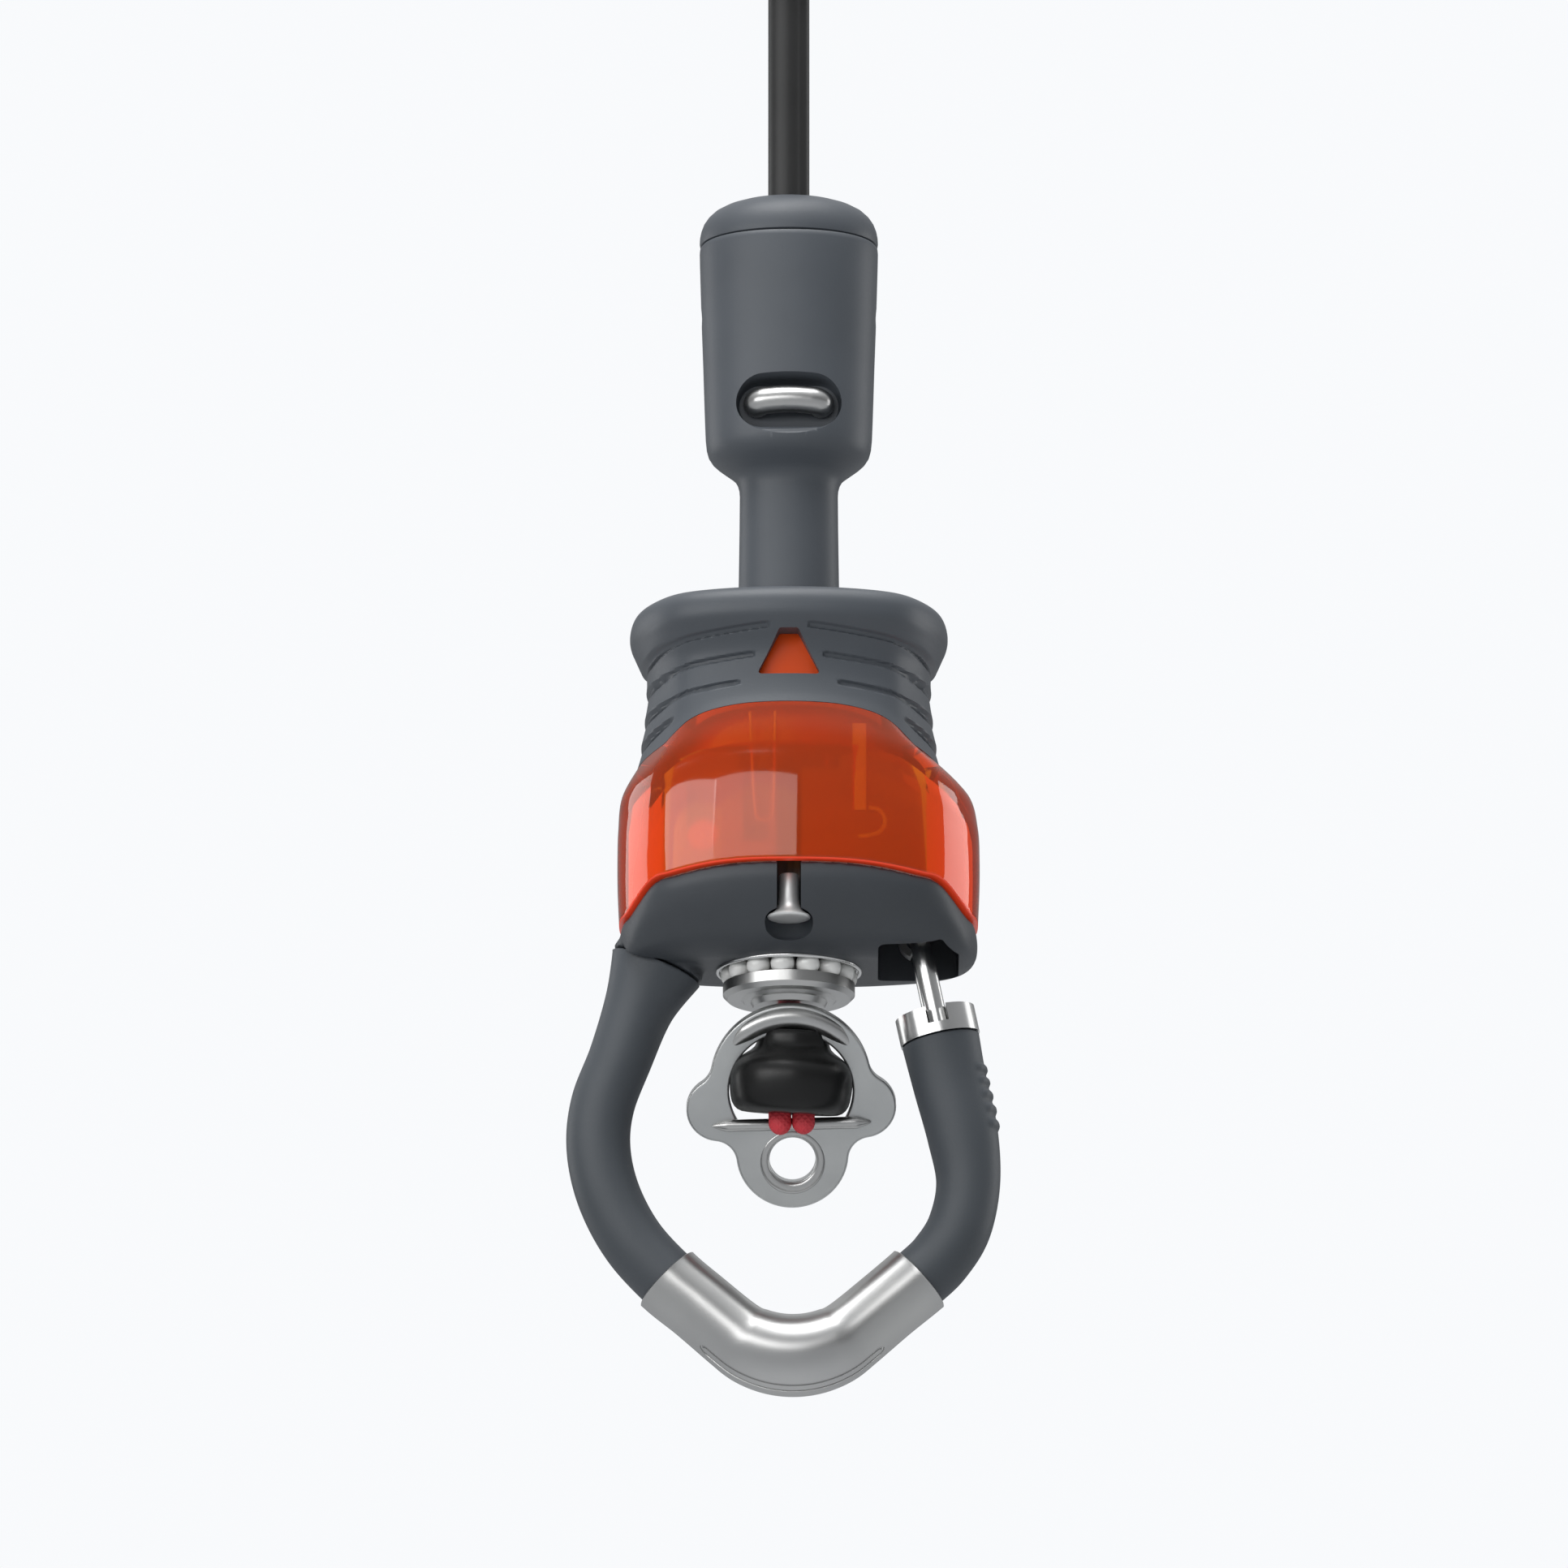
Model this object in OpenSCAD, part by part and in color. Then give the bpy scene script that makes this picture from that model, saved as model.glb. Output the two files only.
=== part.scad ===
// Quick release of a kite control line, with a gated harness loop and a leash swivel.
// Millimetres, +Z up. The part hangs from its line: the origin is the centre of the line's eye.
// Heights in the sections below are measured from the swivel plane, the underside of the block.

/* [Line] */
// Width of the twin-bore line tube
tube_w = 8.2; // [6:0.1:10]
// Depth of the line tube, front to back
tube_d = 7.2; // [5:0.1:9]
// Free length of tube between the cap and the end fitting
line_len = 46; // [30:1:90]
// How far the tube reaches down into the head
tube_in = 14; // [8:1:20]
// Radius of the eye's bore at the line's end
eye_bore_r = 4; // [2.5:0.1:5]
// Wall around the eye's bore
eye_wall = 3.2; // [2:0.1:5]
// Thickness of the eye, front to back
eye_t = 6; // [4:0.1:9]
// Outer radius of the swaged ferrule on the tube
ferrule_r = 5.8; // [5.5:0.1:8]
// Height of the swaged ferrule
ferrule_h = 9; // [6:0.5:16]

/* [Head] */
// Height of the cap's top above the swivel plane
body_len = 157; // [145:1:180]
// Height of the cap
cap_h = 9.5; // [7:0.5:14]
// Width of the head under the cap
head_w = 35.4; // [32:0.2:42]
// Depth of the head under the cap
head_d = 31; // [28:0.2:36]
// How much the head narrows on each side towards its lower end
head_taper = 1.2; // [0:0.1:2.5]
// Height of the head from the cap to its shoulder
head_len = 41.5; // [38:0.5:48]
// Height of the sloping shoulder
shoulder_h = 8; // [5:0.5:12]
// Width of the neck
neck_w = 20; // [18:0.2:22]
// Depth of the neck
neck_d = 18; // [17:0.2:20]
// Width of the front slot
slot_w = 21; // [20:0.2:24]
// Height of the front slot
slot_h = 10; // [8:0.2:12]
// Depth of the front slot
slot_depth = 7; // [6:0.5:9]
// Drop of the slot's centre below the cap
slot_drop = 34.8; // [30:0.2:36]
// Length of the steel bar in the slot
bar_len = 19; // [14:0.2:19.5]
// Radius of the steel bar
bar_r = 2.75; // [2:0.05:3.5]
// Drop of the anchor pin below the cap
anchor_drop = 14; // [10:0.5:20]
// Radius of the anchor pin
anchor_r = 2; // [1.5:0.1:2.5]

/* [Grip] */
// Widest half width of the grip's flange
flange_hw = 31.4; // [30:0.2:36]
// Widest half depth of the grip's flange
flange_hd = 29; // [27:0.2:34]
// Half width of the grip's waist
waist_hw = 27.8; // [27:0.2:30]
// Half depth of the grip's waist
waist_hd = 25; // [24.5:0.2:28]
// Height of the grip's top face
grip_top = 71.5; // [70:0.5:76]
// Height of the top of the waist, where the flange begins
waist_top = 58; // [57:0.5:60]
// Wall of the grip over the casing's skirt
grip_wall = 3; // [2:0.1:3.6]
// Width of the window's lower edge
window_w = 12.6; // [8:0.2:16]
// Width of the window's upper edge
window_top_w = 3.7; // [2:0.1:6]
// Height of the window's lower edge
window_z = 54; // [52:0.5:56]
// Height of the window
window_h = 8.8; // [6:0.2:9]
// How far the grip is pushed up to release the loop
handle_travel = 12; // [6:0.5:12]

/* [Casing] */
// Half width of the casing on the hinge side
casing_left = 33.8; // [33:0.2:36]
// Half width of the casing on the gate side
casing_right = 37.6; // [36:0.2:40]
// Half depth of the casing
casing_hd = 28; // [27:0.2:31]
// Distance of the casing's top edge inside its half depth
edge_in = 1.6; // [1:0.1:2.4]
// Wall of the casing
casing_wall = 2.2; // [1.6:0.1:2.6]
// Height of the casing's lower edge at the sides
low_side = 8.6; // [7:0.2:9.6]
// Height of the casing's lower edge at the front corners
low_corner = 14; // [12:0.2:15]
// Height of the casing's lower edge at the middle of the front
low_mid = 15.8; // [14:0.2:17]
// Height of the seam between grip and casing at the sides
seam_side = 39.6; // [39:0.2:41]
// Height of the seam between grip and casing at the front corners
seam_corner = 42.9; // [42:0.1:44]
// Height of the seam where its level front part ends
seam_bend = 45.8; // [45:0.1:46.6]
// Height of the seam between grip and casing at the middle of the front
seam_mid = 48.1; // [47:0.1:49.5]
// Top of the casing's skirt inside the grip
skirt_top = 63.5; // [62:0.2:64]
// Underside of the web that the spring stands on
web_z = 39; // [38:0.2:40]
// Thickness of the web
web_t = 2; // [1.5:0.1:2.5]

// Share of the half width that the bowed front spans
front_share = 0.78; // [0.7:0.01:0.84]
// Share of the half depth that the front bows back at its corners
bow_share = 0.21; // [0.12:0.01:0.3]
// Share of the half depth that the flat side spans
side_share = 0.32; // [0.2:0.01:0.45]

/* [Block] */
// Half depth of the block's flat underside
block_flat_hd = 13.5; // [12:0.5:15]
// Height of the tower inside the casing
tower_top = 36; // [32:0.5:37]
// Height where the tower starts to narrow
tower_taper_z = 27; // [24:0.5:29]
// Outer radius of the spine tube
spine_r = 4.5; // [3.8:0.1:5]
// Radius of the passage for the red line
passage_r = 2.7; // [2.4:0.05:3]
// Radius of the guide stud's stem
stud_r = 2.15; // [1.6:0.05:2.4]
// Radius of the stud's flared foot
stud_foot_r = 4.6; // [3.2:0.1:5]
// Distance of the stud behind the casing's front
stud_in = 6.5; // [5.5:0.1:8]
// Height of the stud's foot
stud_z = 4.6; // [4:0.2:6]
// Length of the stud
stud_len = 15; // [11:0.5:18]

/* [Swivel] */
// Radius of the bearing ring's rim
race_r = 14.1; // [13.8:0.1:14.6]
// Height of the bearing ring inside the block
race_h = 5; // [4.5:0.1:6]
// Radius of the bearing balls
ball_r = 2.35; // [2:0.05:2.4]
// Radius of the ring of balls
ball_ring_r = 11.2; // [11:0.05:11.4]
// Number of balls
ball_count = 14; // [10:1:14]
// Drop of the balls' centres below the swivel plane
ball_drop = 1.2; // [1:0.1:1.4]
// Radius of the swivel disc
disc_r = 13; // [12.8:0.1:13.6]
// Drop of the disc's top below the swivel plane
disc_top = 2.9; // [2.6:0.1:3.2]
// Thickness of the disc
disc_t = 3; // [2.5:0.1:4]
// Radius of the spindle
spindle_r = 7; // [6:0.1:7.5]
// Radius of the nut on the spindle
nut_r = 9.6; // [8.5:0.1:10]
// Height of the nut
nut_h = 3.4; // [2.5:0.1:4]
// Thickness of the washer under the nut
washer_t = 1; // [0.6:0.1:1.5]

/* [Leash] */
// Height of the leash plate
plate_h = 40.6; // [39:0.2:42]
// Thickness of the leash plate
plate_t = 2.6; // [2:0.1:3]
// Half width of the plate across its lobes
plate_hw = 20.2; // [18:0.2:20.4]
// Radius of the lobes
lobe_r = 6; // [5:0.1:6.5]
// Drop of the lobes below the plate's top
lobe_drop = 20.6; // [20:0.2:22]
// Outer radius of the plate's arch
arch_r = 15.4; // [15:0.1:16]
// Radius of the rolled bead on the arch
bead_r = 1.8; // [1.4:0.1:2]
// Half width of the plate's window
plate_window_r = 12.6; // [12.4:0.1:13]
// Depth of the window's flat sill below its middle
window_sill = 6.5; // [6.2:0.1:7.4]
// Distance of the window's middle below the middle of the arch
window_low = 1.8; // [1.4:0.1:2.2]
// Radius of the inner curves between arch, lobes and lower end
plate_fillet = 5; // [3:0.5:6]
// Radius of the leash hole
leash_hole_r = 5; // [4:0.1:5.4]
// Distance of the leash hole below the middle of the lower end
hole_low = 1.2; // [0:0.2:1.6]
// Radius of the plate's lower end
tip_r = 10.6; // [9.5:0.1:11]
// Lean of the plate's lower end towards the back
plate_lean = 30; // [24:1:32]
// Roll of the plate to the right
plate_roll = 1.5; // [0:0.5:4]
// Distance of the plate's top in front of the axis
plate_y = 5.8; // [5.6:0.1:6.4]
// Radius of the cross pin
cross_pin_r = 1.2; // [0.9:0.1:1.4]
// Length of the cross pin
cross_pin_len = 27; // [26:0.2:30]
// Widest radius of the stopper ball
stopper_r = 12.1; // [11:0.1:12.2]
// Height of the stopper ball
stopper_h = 15; // [13:0.2:15.6]
// Drop of the ball's top below the swivel disc
stopper_drop = 6; // [5.6:0.1:6.6]
// Lean of the ball's foot towards the back
stopper_lean = 12; // [8:1:16]
// Offset of the ball to the right of the axis
stopper_x = 0.9; // [0.6:0.1:1.2]
// Roll of the ball's foot to the left
stopper_roll = 3; // [0:0.5:4]
// Depth of the red line's end in the ball
line_grip = 4.5; // [3:0.5:8]
// Radius of the red line
safety_r = 2.2; // [1.8:0.05:2.3]
// How far the leash unit can be drawn down before it meets the loop
leash_travel = 14; // [8:1:16]

/* [Loop] */
// Half width of the arm where it meets the block
butt_hw = 9.4; // [8.5:0.1:10]
// Half depth of the arm where it meets the block
butt_hd = 7.8; // [7:0.1:8.4]
// Distance of the butt seam's middle left of the axis
butt_x = 26; // [25:0.2:27]
// Height of the butt seam's middle
butt_z = 0.9; // [0:0.1:1.5]
// Lean of the left arm from the vertical at the seam
butt_lean = 22.8; // [18:0.2:26]
// Radius of the arms
arm_r = 6.3; // [5.5:0.1:6.8]
// Distance of the left arm's belly from the axis
loop_left = 37.4; // [36:0.2:42]
// Distance of the right arm's belly from the axis
loop_right = 35.2; // [34:0.2:40]
// Drop of the saddle's ends below the swivel plane
saddle_end_drop = 62.2; // [58:0.2:70]
// Distance of the saddle's ends from its middle
saddle_half = 24.8; // [24:0.2:28]
// Middle of the saddle, right of the axis
saddle_x = 0.8; // [0:0.05:1.5]
// Slope of the saddle's straight legs
saddle_lean = 40.5; // [34:0.5:46]
// Radius of the saddle's bend, to the middle of the tube
saddle_bend_r = 18; // [14:0.5:24]
// Radius of the saddle's ends
saddle_end_r = 7.3; // [6.9:0.1:7.6]
// Radius of the saddle at its bend
saddle_r = 8.15; // [7.6:0.05:9]
// Radius of the cable core
core_r = 2.4; // [1.8:0.1:3]
// Radius of the fork collar
collar_r = 7.9; // [7.4:0.1:8.4]
// Height of the fork collar
collar_h = 5.4; // [5:0.2:8]
// Lean of the right arm from the vertical at the collar
collar_lean = 11.9; // [9:0.1:13]
// Distance of the collar right of the axis
collar_x = 29.8; // [29:0.1:30.4]
// Drop of the collar's lower face below the swivel plane
collar_drop = 14; // [13:0.2:15]
// Radius of the bail's rod
bail_r = 2.05; // [1.6:0.05:2.2]
// Half distance between the bail's rods
bail_half = 4; // [3:0.1:4.4]
// Length of the bail from the collar's lower face to the middle of its bend
bail_len = 20.6; // [19:0.2:22]

/* [Catch and spring] */
// Thickness of the catch strip
catch_t = 1.4; // [1:0.1:1.6]
// Width of the catch strip
catch_w = 3.2; // [2:0.1:3.4]
// Height of the catch's foot
catch_top = 31; // [26:0.5:32]
// Radius of the spring's wire
wire_r = 0.7; // [0.5:0.05:0.8]
// Mean radius of the spring
spring_r = 13; // [12.6:0.1:13.2]
// Number of turns of the spring
spring_turns = 5; // [4:1:6]
// Height of the collar that the spring bears on
spring_top = 61; // [60:0.2:61.4]
// Thickness of the collar that the spring bears on
spring_collar_t = 2.5; // [1.5:0.1:3]

/* [Clearances] */
// Gap between sliding or swinging bodies
body_gap = 0.4; // [0.3:0.05:0.6]
// Radial gap of a running fit
running_gap = 0.06; // [0.02:0.01:0.1]
// Gap of pieces that are assembled and stay put
seat_gap = 0.05; // [0.02:0.01:0.2]

/* [Hidden] */
$fn = 48;

slate = "#555b62";
orange = "#d0460f";
steel = "#b9bbbd";
black = "#2a2a2a";

// Heights that follow from the sizes above
ferrule_top = -eye_bore_r - eye_wall + 1;
ferrule_bottom = ferrule_top - ferrule_h;
plane_z = ferrule_bottom - line_len - body_len;
cap_base = body_len - cap_h;
head_base = cap_base - head_len;
neck_top = head_base - shoulder_h;
neck_hole = body_gap;

module on_plane() translate([0, 0, plane_z]) children();

// Skins a list of rings; with wrap the last ring joins the first
module skin(rings, wrap = false) {
    n = len(rings[0]);
    m = len(rings);
    last = wrap ? m - 1 : m - 2;
    side = [for (j = [0:last]) for (i = [0:n - 1])
            let (k = (i + 1) % n, u = ((j + 1) % m) * n)
            each [[j * n + i, u + i, u + k], [j * n + i, u + k, j * n + k]]];
    caps = wrap ? [] : [[for (i = [0:n - 1]) i], [for (i = [n - 1:-1:0]) (m - 1) * n + i]];
    polyhedron([for (r = rings) each r], concat(side, caps));
}

function mix(a, b, t) = a + (b - a) * t;
function ease(t) = let (c = min(max(t, 0), 1)) c * c * (3 - 2 * c);

// Radius of the plan of grip, casing and block at angle a: bowed front and back, slanted corner
// faces and flat sides; p sharpens the corners between them, facet fades the slanted faces out
function plan_r(a, hw, hd, p, facet = 1) =
    let (c = abs(cos(a)), s = abs(sin(a)))
    let (f = front_share * hw, b = bow_share * hd, y = hd - b)
    let (arc_r = (f * f + b * b) / (2 * b), off = arc_r - hd)
    let (front = sqrt(arc_r * arc_r - off * off * c * c) - off * s)
    let (det = f * side_share * hd - y * hw)
    let (u = (side_share * hd - y) / det, v = (f - hw) / det)
    pow(pow(c / hw, p) + pow(1 / front, p) + facet * pow(c * u + s * v, p), -1 / p);

plan_n = 72;
function plan(hl, hr, hd, p = 24, facet = 1) =
    [for (i = [0:plan_n - 1])
     let (a = 360 * i / plan_n, r = plan_r(a, cos(a) < 0 ? hl : hr, hd, p, facet))
     [r * cos(a), r * sin(a)]];
function oval(hw, hd) = [for (i = [0:plan_n - 1]) let (a = 360 * i / plan_n) [hw * cos(a), hd * sin(a)]];
function level(pts, z) = [for (p = pts) [p.x, p.y, z]];

// Height of an arched edge: low at the sides, higher at the front corners, highest in the middle
function edge_z(p, hd, side, corner, mid) =
    side + (corner - side) * ease((abs(p.y) / hd - side_share) / (1 - bow_share - side_share))
    + (mid - corner) * ease((abs(p.y) / hd - 1 + bow_share) / bow_share);
function low_edge(p) = edge_z(p, casing_hd, low_side, low_corner, low_mid);
function seam_edge(p) = lookup(abs(p.y) / casing_hd,
    [[side_share, seam_side], [0.7, mix(seam_side, seam_corner, 0.52)], [1 - bow_share, seam_corner],
     [1 - 0.63 * bow_share, seam_bend], [1 - 0.3 * bow_share, mix(seam_bend, seam_mid, 0.66)], [1, seam_mid]]);

// Smooth curve through control points [x, z, half width, half depth]
function pick(p, i) = p[min(max(i, 0), len(p) - 1)];
function bend(a, b, c, d, t) =
    0.5 * (2 * b + (c - a) * t + (2 * a - 5 * b + 4 * c - d) * t * t
           + (3 * b - a - 3 * c + d) * t * t * t);
function along(p, t) = let (i = min(floor(t), len(p) - 2))
    bend(pick(p, i - 1), pick(p, i), pick(p, i + 1), pick(p, i + 2), t - i);
function heading(p, t) = let (d = along(p, min(t + 0.02, len(p) - 1)) - along(p, max(t - 0.02, 0)))
    [d.x, d.y] / norm([d.x, d.y]);
arm_n = 24;
function arm_ring(p, t, hw, hd) = let (q = along(p, t), h = heading(p, t))
    [for (k = [0:arm_n - 1]) let (a = 360 * k / arm_n)
     [q.x + h.y * hw * cos(a), hd * sin(a), q.y - h.x * hw * cos(a)]];
// Rings of a tube along the curve from t0 to t1, with a bore for the core
function arm_rings(p, t0, t1, steps) =
    [for (i = [0:steps]) let (t = mix(t0, t1, i / steps), q = along(p, t)) arm_ring(p, t, q[2], q[3])];
function bore_rings(p, t0, t1, steps, r) =
    [for (i = [steps:-1:0]) arm_ring(p, mix(t0, t1, i / steps), r, r)];
module hollow_arm(p, t0, t1, steps) {
    skin(concat(arm_rings(p, t0, t1, steps), bore_rings(p, t0, t1, steps, core_r + seat_gap)), true);
}

// Control points of the loop's three stretches
butt_dir = [-sin(butt_lean), -cos(butt_lean)];
belly_z = -36;
saddle_left = [saddle_x - saddle_half, -saddle_end_drop];
saddle_right = [saddle_x + saddle_half, -saddle_end_drop];
bend_x = saddle_bend_r * sin(saddle_lean);
leg_x = saddle_half - bend_x;
leg_z = -saddle_end_drop - leg_x / 2 * tan(saddle_lean);
bend_z = -saddle_end_drop - leg_x * tan(saddle_lean) + saddle_bend_r * cos(saddle_lean);
saddle_first = [saddle_x - bend_x - leg_x / 2, leg_z];
saddle_last = [saddle_x + bend_x + leg_x / 2, leg_z];
function bend_pt(k) = [saddle_x + saddle_bend_r * sin(k * saddle_lean), bend_z - saddle_bend_r * cos(k * saddle_lean),
                       saddle_r - 0.8 * k * k, saddle_r - 0.8 * k * k];
left_last = [mix(-loop_left, saddle_left.x, 0.5), mix(belly_z, saddle_left.y, 0.71)];
right_last = [mix(loop_right, saddle_right.x, 0.56), mix(-43, saddle_right.y, 0.78)];
left_pts = [
    [-butt_x, butt_z, butt_hw, butt_hd],
    [-butt_x + 9 * butt_dir.x, butt_z + 9 * butt_dir.y, arm_r + 0.7, arm_r + 0.3],
    [mix(-butt_x, -loop_left, 0.62), mix(butt_z, belly_z, 0.5), arm_r, arm_r],
    [mix(-butt_x, -loop_left, 0.93), mix(butt_z, belly_z, 0.76), arm_r, arm_r],
    [-loop_left, belly_z, arm_r, arm_r],
    [mix(-loop_left, saddle_left.x, 0.15), mix(belly_z, saddle_left.y, 0.36), arm_r, arm_r],
    [left_last.x, left_last.y, arm_r, arm_r],
    [saddle_left.x, saddle_left.y, arm_r, arm_r],
    [saddle_first.x, saddle_first.y, arm_r, arm_r]];
flex_t = 1.5;
arm_end = 0.008;
collar_dir = [sin(collar_lean), -cos(collar_lean)];
right_pts = [
    [collar_x, -collar_drop, collar_r - 0.2, collar_r - 0.5],
    [collar_x + 9 * collar_dir.x, -collar_drop + 9 * collar_dir.y, arm_r + 1, arm_r + 0.7],
    [mix(collar_x, loop_right, 0.8), mix(-collar_drop, -43, 0.66), arm_r + 0.7, arm_r + 0.4],
    [loop_right, -43, arm_r, arm_r],
    [mix(loop_right, saddle_right.x, 0.18), mix(-43, saddle_right.y, 0.46), arm_r, arm_r],
    [right_last.x, right_last.y, arm_r, arm_r],
    [saddle_right.x, saddle_right.y, arm_r, arm_r],
    [saddle_last.x, saddle_last.y, arm_r, arm_r]];
saddle_pts = concat([
    [left_last.x, left_last.y, saddle_end_r, saddle_end_r],
    [saddle_left.x, saddle_left.y, saddle_end_r, saddle_end_r],
    [saddle_first.x, saddle_first.y, saddle_end_r - 0.1, saddle_end_r - 0.1]],
    [for (k = [-3:3]) bend_pt(k / 3)], [
    [saddle_last.x, saddle_last.y, saddle_end_r - 0.1, saddle_end_r - 0.1],
    [saddle_right.x, saddle_right.y, saddle_end_r, saddle_end_r],
    [right_last.x, right_last.y, saddle_end_r, saddle_end_r]]);
saddle_t = len(saddle_pts) - 2;

// Middle of the bail's bend, where the catch holds it
bight = [collar_x, -collar_drop] - bail_len * collar_dir;

// The line's route, from the end fitting down into the head
route = [[0, 0, 0], [0, 0, -15], [0, 0, -30], [0, 0, -45], [0, 0, -60]];
tube_top = ferrule_bottom + 5;
tube_end = plane_z + body_len - tube_in;
tube_sides = 12;
function tube_ring(z) = [for (i = [0:tube_sides - 1]) let (a = 360 * i / tube_sides)
                         [tube_w / 2 * cos(a), tube_d / 2 * sin(a), z]];

module depower_tube() {
    reach = tube_top - tube_end;
    color(black)
    skin([for (i = [len(route) - 1:-1:0]) tube_ring(tube_top + route[i].z / 60 * reach)]);
}

module end_fitting() {
    color(steel)
    difference() {
        union() {
            rotate([90, 0, 0]) cylinder(r = eye_bore_r + eye_wall, h = eye_t, center = true);
            translate([0, 0, ferrule_bottom]) cylinder(r = ferrule_r, h = ferrule_h);
        }
        rotate([90, 0, 0]) cylinder(r = eye_bore_r, h = eye_t + 20, center = true);
        translate([0, 0, ferrule_bottom - 1])
        linear_extrude(6 + seat_gap) oval_2d(tube_w / 2 + seat_gap, tube_d / 2 + seat_gap);
    }
}

module oval_2d(hw, hd) polygon([for (i = [0:47]) [hw * cos(7.5 * i), hd * sin(7.5 * i)]]);

module top_cap() {
    dome = [[0.995, 0.2], [0.955, 0.47], [0.845, 0.72], [0.63, 0.895], [0.3, 1]];
    color(slate) on_plane()
    difference() {
        skin(concat([level(oval(head_w / 2, head_d / 2), cap_base + seat_gap)],
            [for (d = dome) level(oval(head_w / 2 * d[0], head_d / 2 * d[0]), cap_base + cap_h * d[1])]));
        translate([0, 0, cap_base - 1])
        linear_extrude(cap_h + 2) oval_2d(tube_w / 2 + seat_gap, tube_d / 2 + seat_gap);
    }
}

module head_shape() {
    low_w = head_w / 2 - head_taper;
    low_d = head_d / 2 - head_taper;
    skin([level(oval(neck_w / 2, neck_d / 2), tower_top + seat_gap),
          level(oval(neck_w / 2, neck_d / 2), neck_top),
          level(oval(neck_w / 2 + 0.9, neck_d / 2 + 0.8), neck_top + 0.25 * shoulder_h),
          level(oval(mix(neck_w / 2, low_w, 0.8), mix(neck_d / 2, low_d, 0.8)), neck_top + 0.75 * shoulder_h),
          level(oval(low_w - 0.5, low_d - 0.5), head_base),
          level(oval(low_w, low_d), head_base + 2.5),
          level(oval(head_w / 2, head_d / 2), cap_base)]);
}

module stadium(w, h) {
    hull() {
        translate([-w / 2 + h / 2, 0]) circle(d = h);
        translate([w / 2 - h / 2, 0]) circle(d = h);
    }
}

bar_z = cap_base - slot_drop;
bar_seat = 0.8;
bar_y = -head_d / 2 + slot_depth - bar_r + bar_seat;
anchor_z = cap_base - anchor_drop;
module head_housing() {
    color(slate) on_plane()
    difference() {
        head_shape();
        translate([0, -head_d / 2 + slot_depth, bar_z])
        rotate([90, 0, 0]) linear_extrude(slot_depth + 5) stadium(slot_w, slot_h);
        translate([0, bar_y, bar_z])
        rotate([0, 90, 0]) cylinder(r = bar_r + seat_gap, h = bar_len + 2 * seat_gap, center = true);
        translate([0, 0, anchor_z])
        rotate([0, 90, 0]) cylinder(r = anchor_r + seat_gap, h = head_w + 2, center = true);
        translate([0, 0, cap_base - (tube_in - cap_h)])
        linear_extrude(tube_in) oval_2d(tube_w / 2 + seat_gap, tube_d / 2 + seat_gap);
        translate([0, 0, tower_top - 1]) cylinder(r = passage_r, h = cap_base);
        translate([0, 0, tower_top - 1]) cylinder(r = spine_r + seat_gap, h = spine_top - tower_top + 1);
        neck_pin_holes();
    }
}

module line_bar() {
    color(steel) on_plane() translate([0, bar_y, bar_z])
    rotate([0, 90, 0])
    union() {
        cylinder(r = bar_r, h = bar_len - 2 * bar_r, center = true);
        for (side = [-1, 1]) translate([0, 0, side * (bar_len / 2 - bar_r)]) sphere(r = bar_r);
    }
}

module anchor_pin() {
    color(steel) on_plane() translate([0, 0, anchor_z])
    rotate([0, 90, 0])
    difference() {
        cylinder(r = anchor_r, h = head_w - 1.4, center = true);
        rotate([0, 90, 0]) cylinder(r = passage_r - 1.4, h = 3 * anchor_r, center = true);
    }
}

spine_base = race_h + washer_t + nut_h + 2.4;
spine_top = neck_top - 2;
module spine_tube() {
    color(steel) on_plane()
    difference() {
        translate([0, 0, spine_base]) cylinder(r = spine_r, h = spine_top - spine_base);
        translate([0, 0, spine_base - 1]) cylinder(r = passage_r, h = spine_top);
    }
}

neck_pin_r = 1.5;
neck_pin_x = neck_w / 2 - 3.1;
neck_pin_len = 16;
module neck_pin_holes() {
    for (side = [-1, 1])
        translate([side * neck_pin_x, 0, tower_top - neck_pin_len / 2])
        cylinder(r = neck_pin_r + seat_gap, h = neck_pin_len);
}
module neck_pins() {
    color(steel) on_plane()
    for (side = [-1, 1])
        translate([side * neck_pin_x, 0, tower_top - neck_pin_len / 2 + seat_gap])
        cylinder(r = neck_pin_r, h = neck_pin_len - 2 * seat_gap);
}

module spring_collar() {
    color(steel) on_plane() translate([0, 0, spring_top])
    difference() {
        cylinder(r = spring_r + wire_r + 0.3, h = spring_collar_t);
        translate([0, 0, -1])
        linear_extrude(spring_collar_t + 2) oval_2d(neck_w / 2 + seat_gap, neck_d / 2 + seat_gap);
    }
}

// Coil spring: one tube wound by a formula, closed down to a small pitch at both ends
spring_base = web_z + web_t + 0.15;
curl_rings = 8;
curl_sides = 6;
spring_pitch = (spring_top - 0.15 - spring_base - 2 * wire_r) / spring_turns;
function spring_at(k) = let (a = 360 * k / curl_rings)
    [spring_r * cos(a), spring_r * sin(a), spring_base + wire_r + spring_pitch * k / curl_rings];
echo(least_gap_between_turns = spring_pitch - 2 * wire_r);
module handle_spring() {
    rings = [for (k = [0:spring_turns * curl_rings]) let (c = spring_at(k), a = 360 * k / curl_rings)
             [for (i = [0:curl_sides - 1]) let (b = -360 * i / curl_sides)
              c + wire_r * [cos(b) * cos(a), cos(b) * sin(a), sin(b)]]];
    color(steel) on_plane() skin(rings);
}

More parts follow.
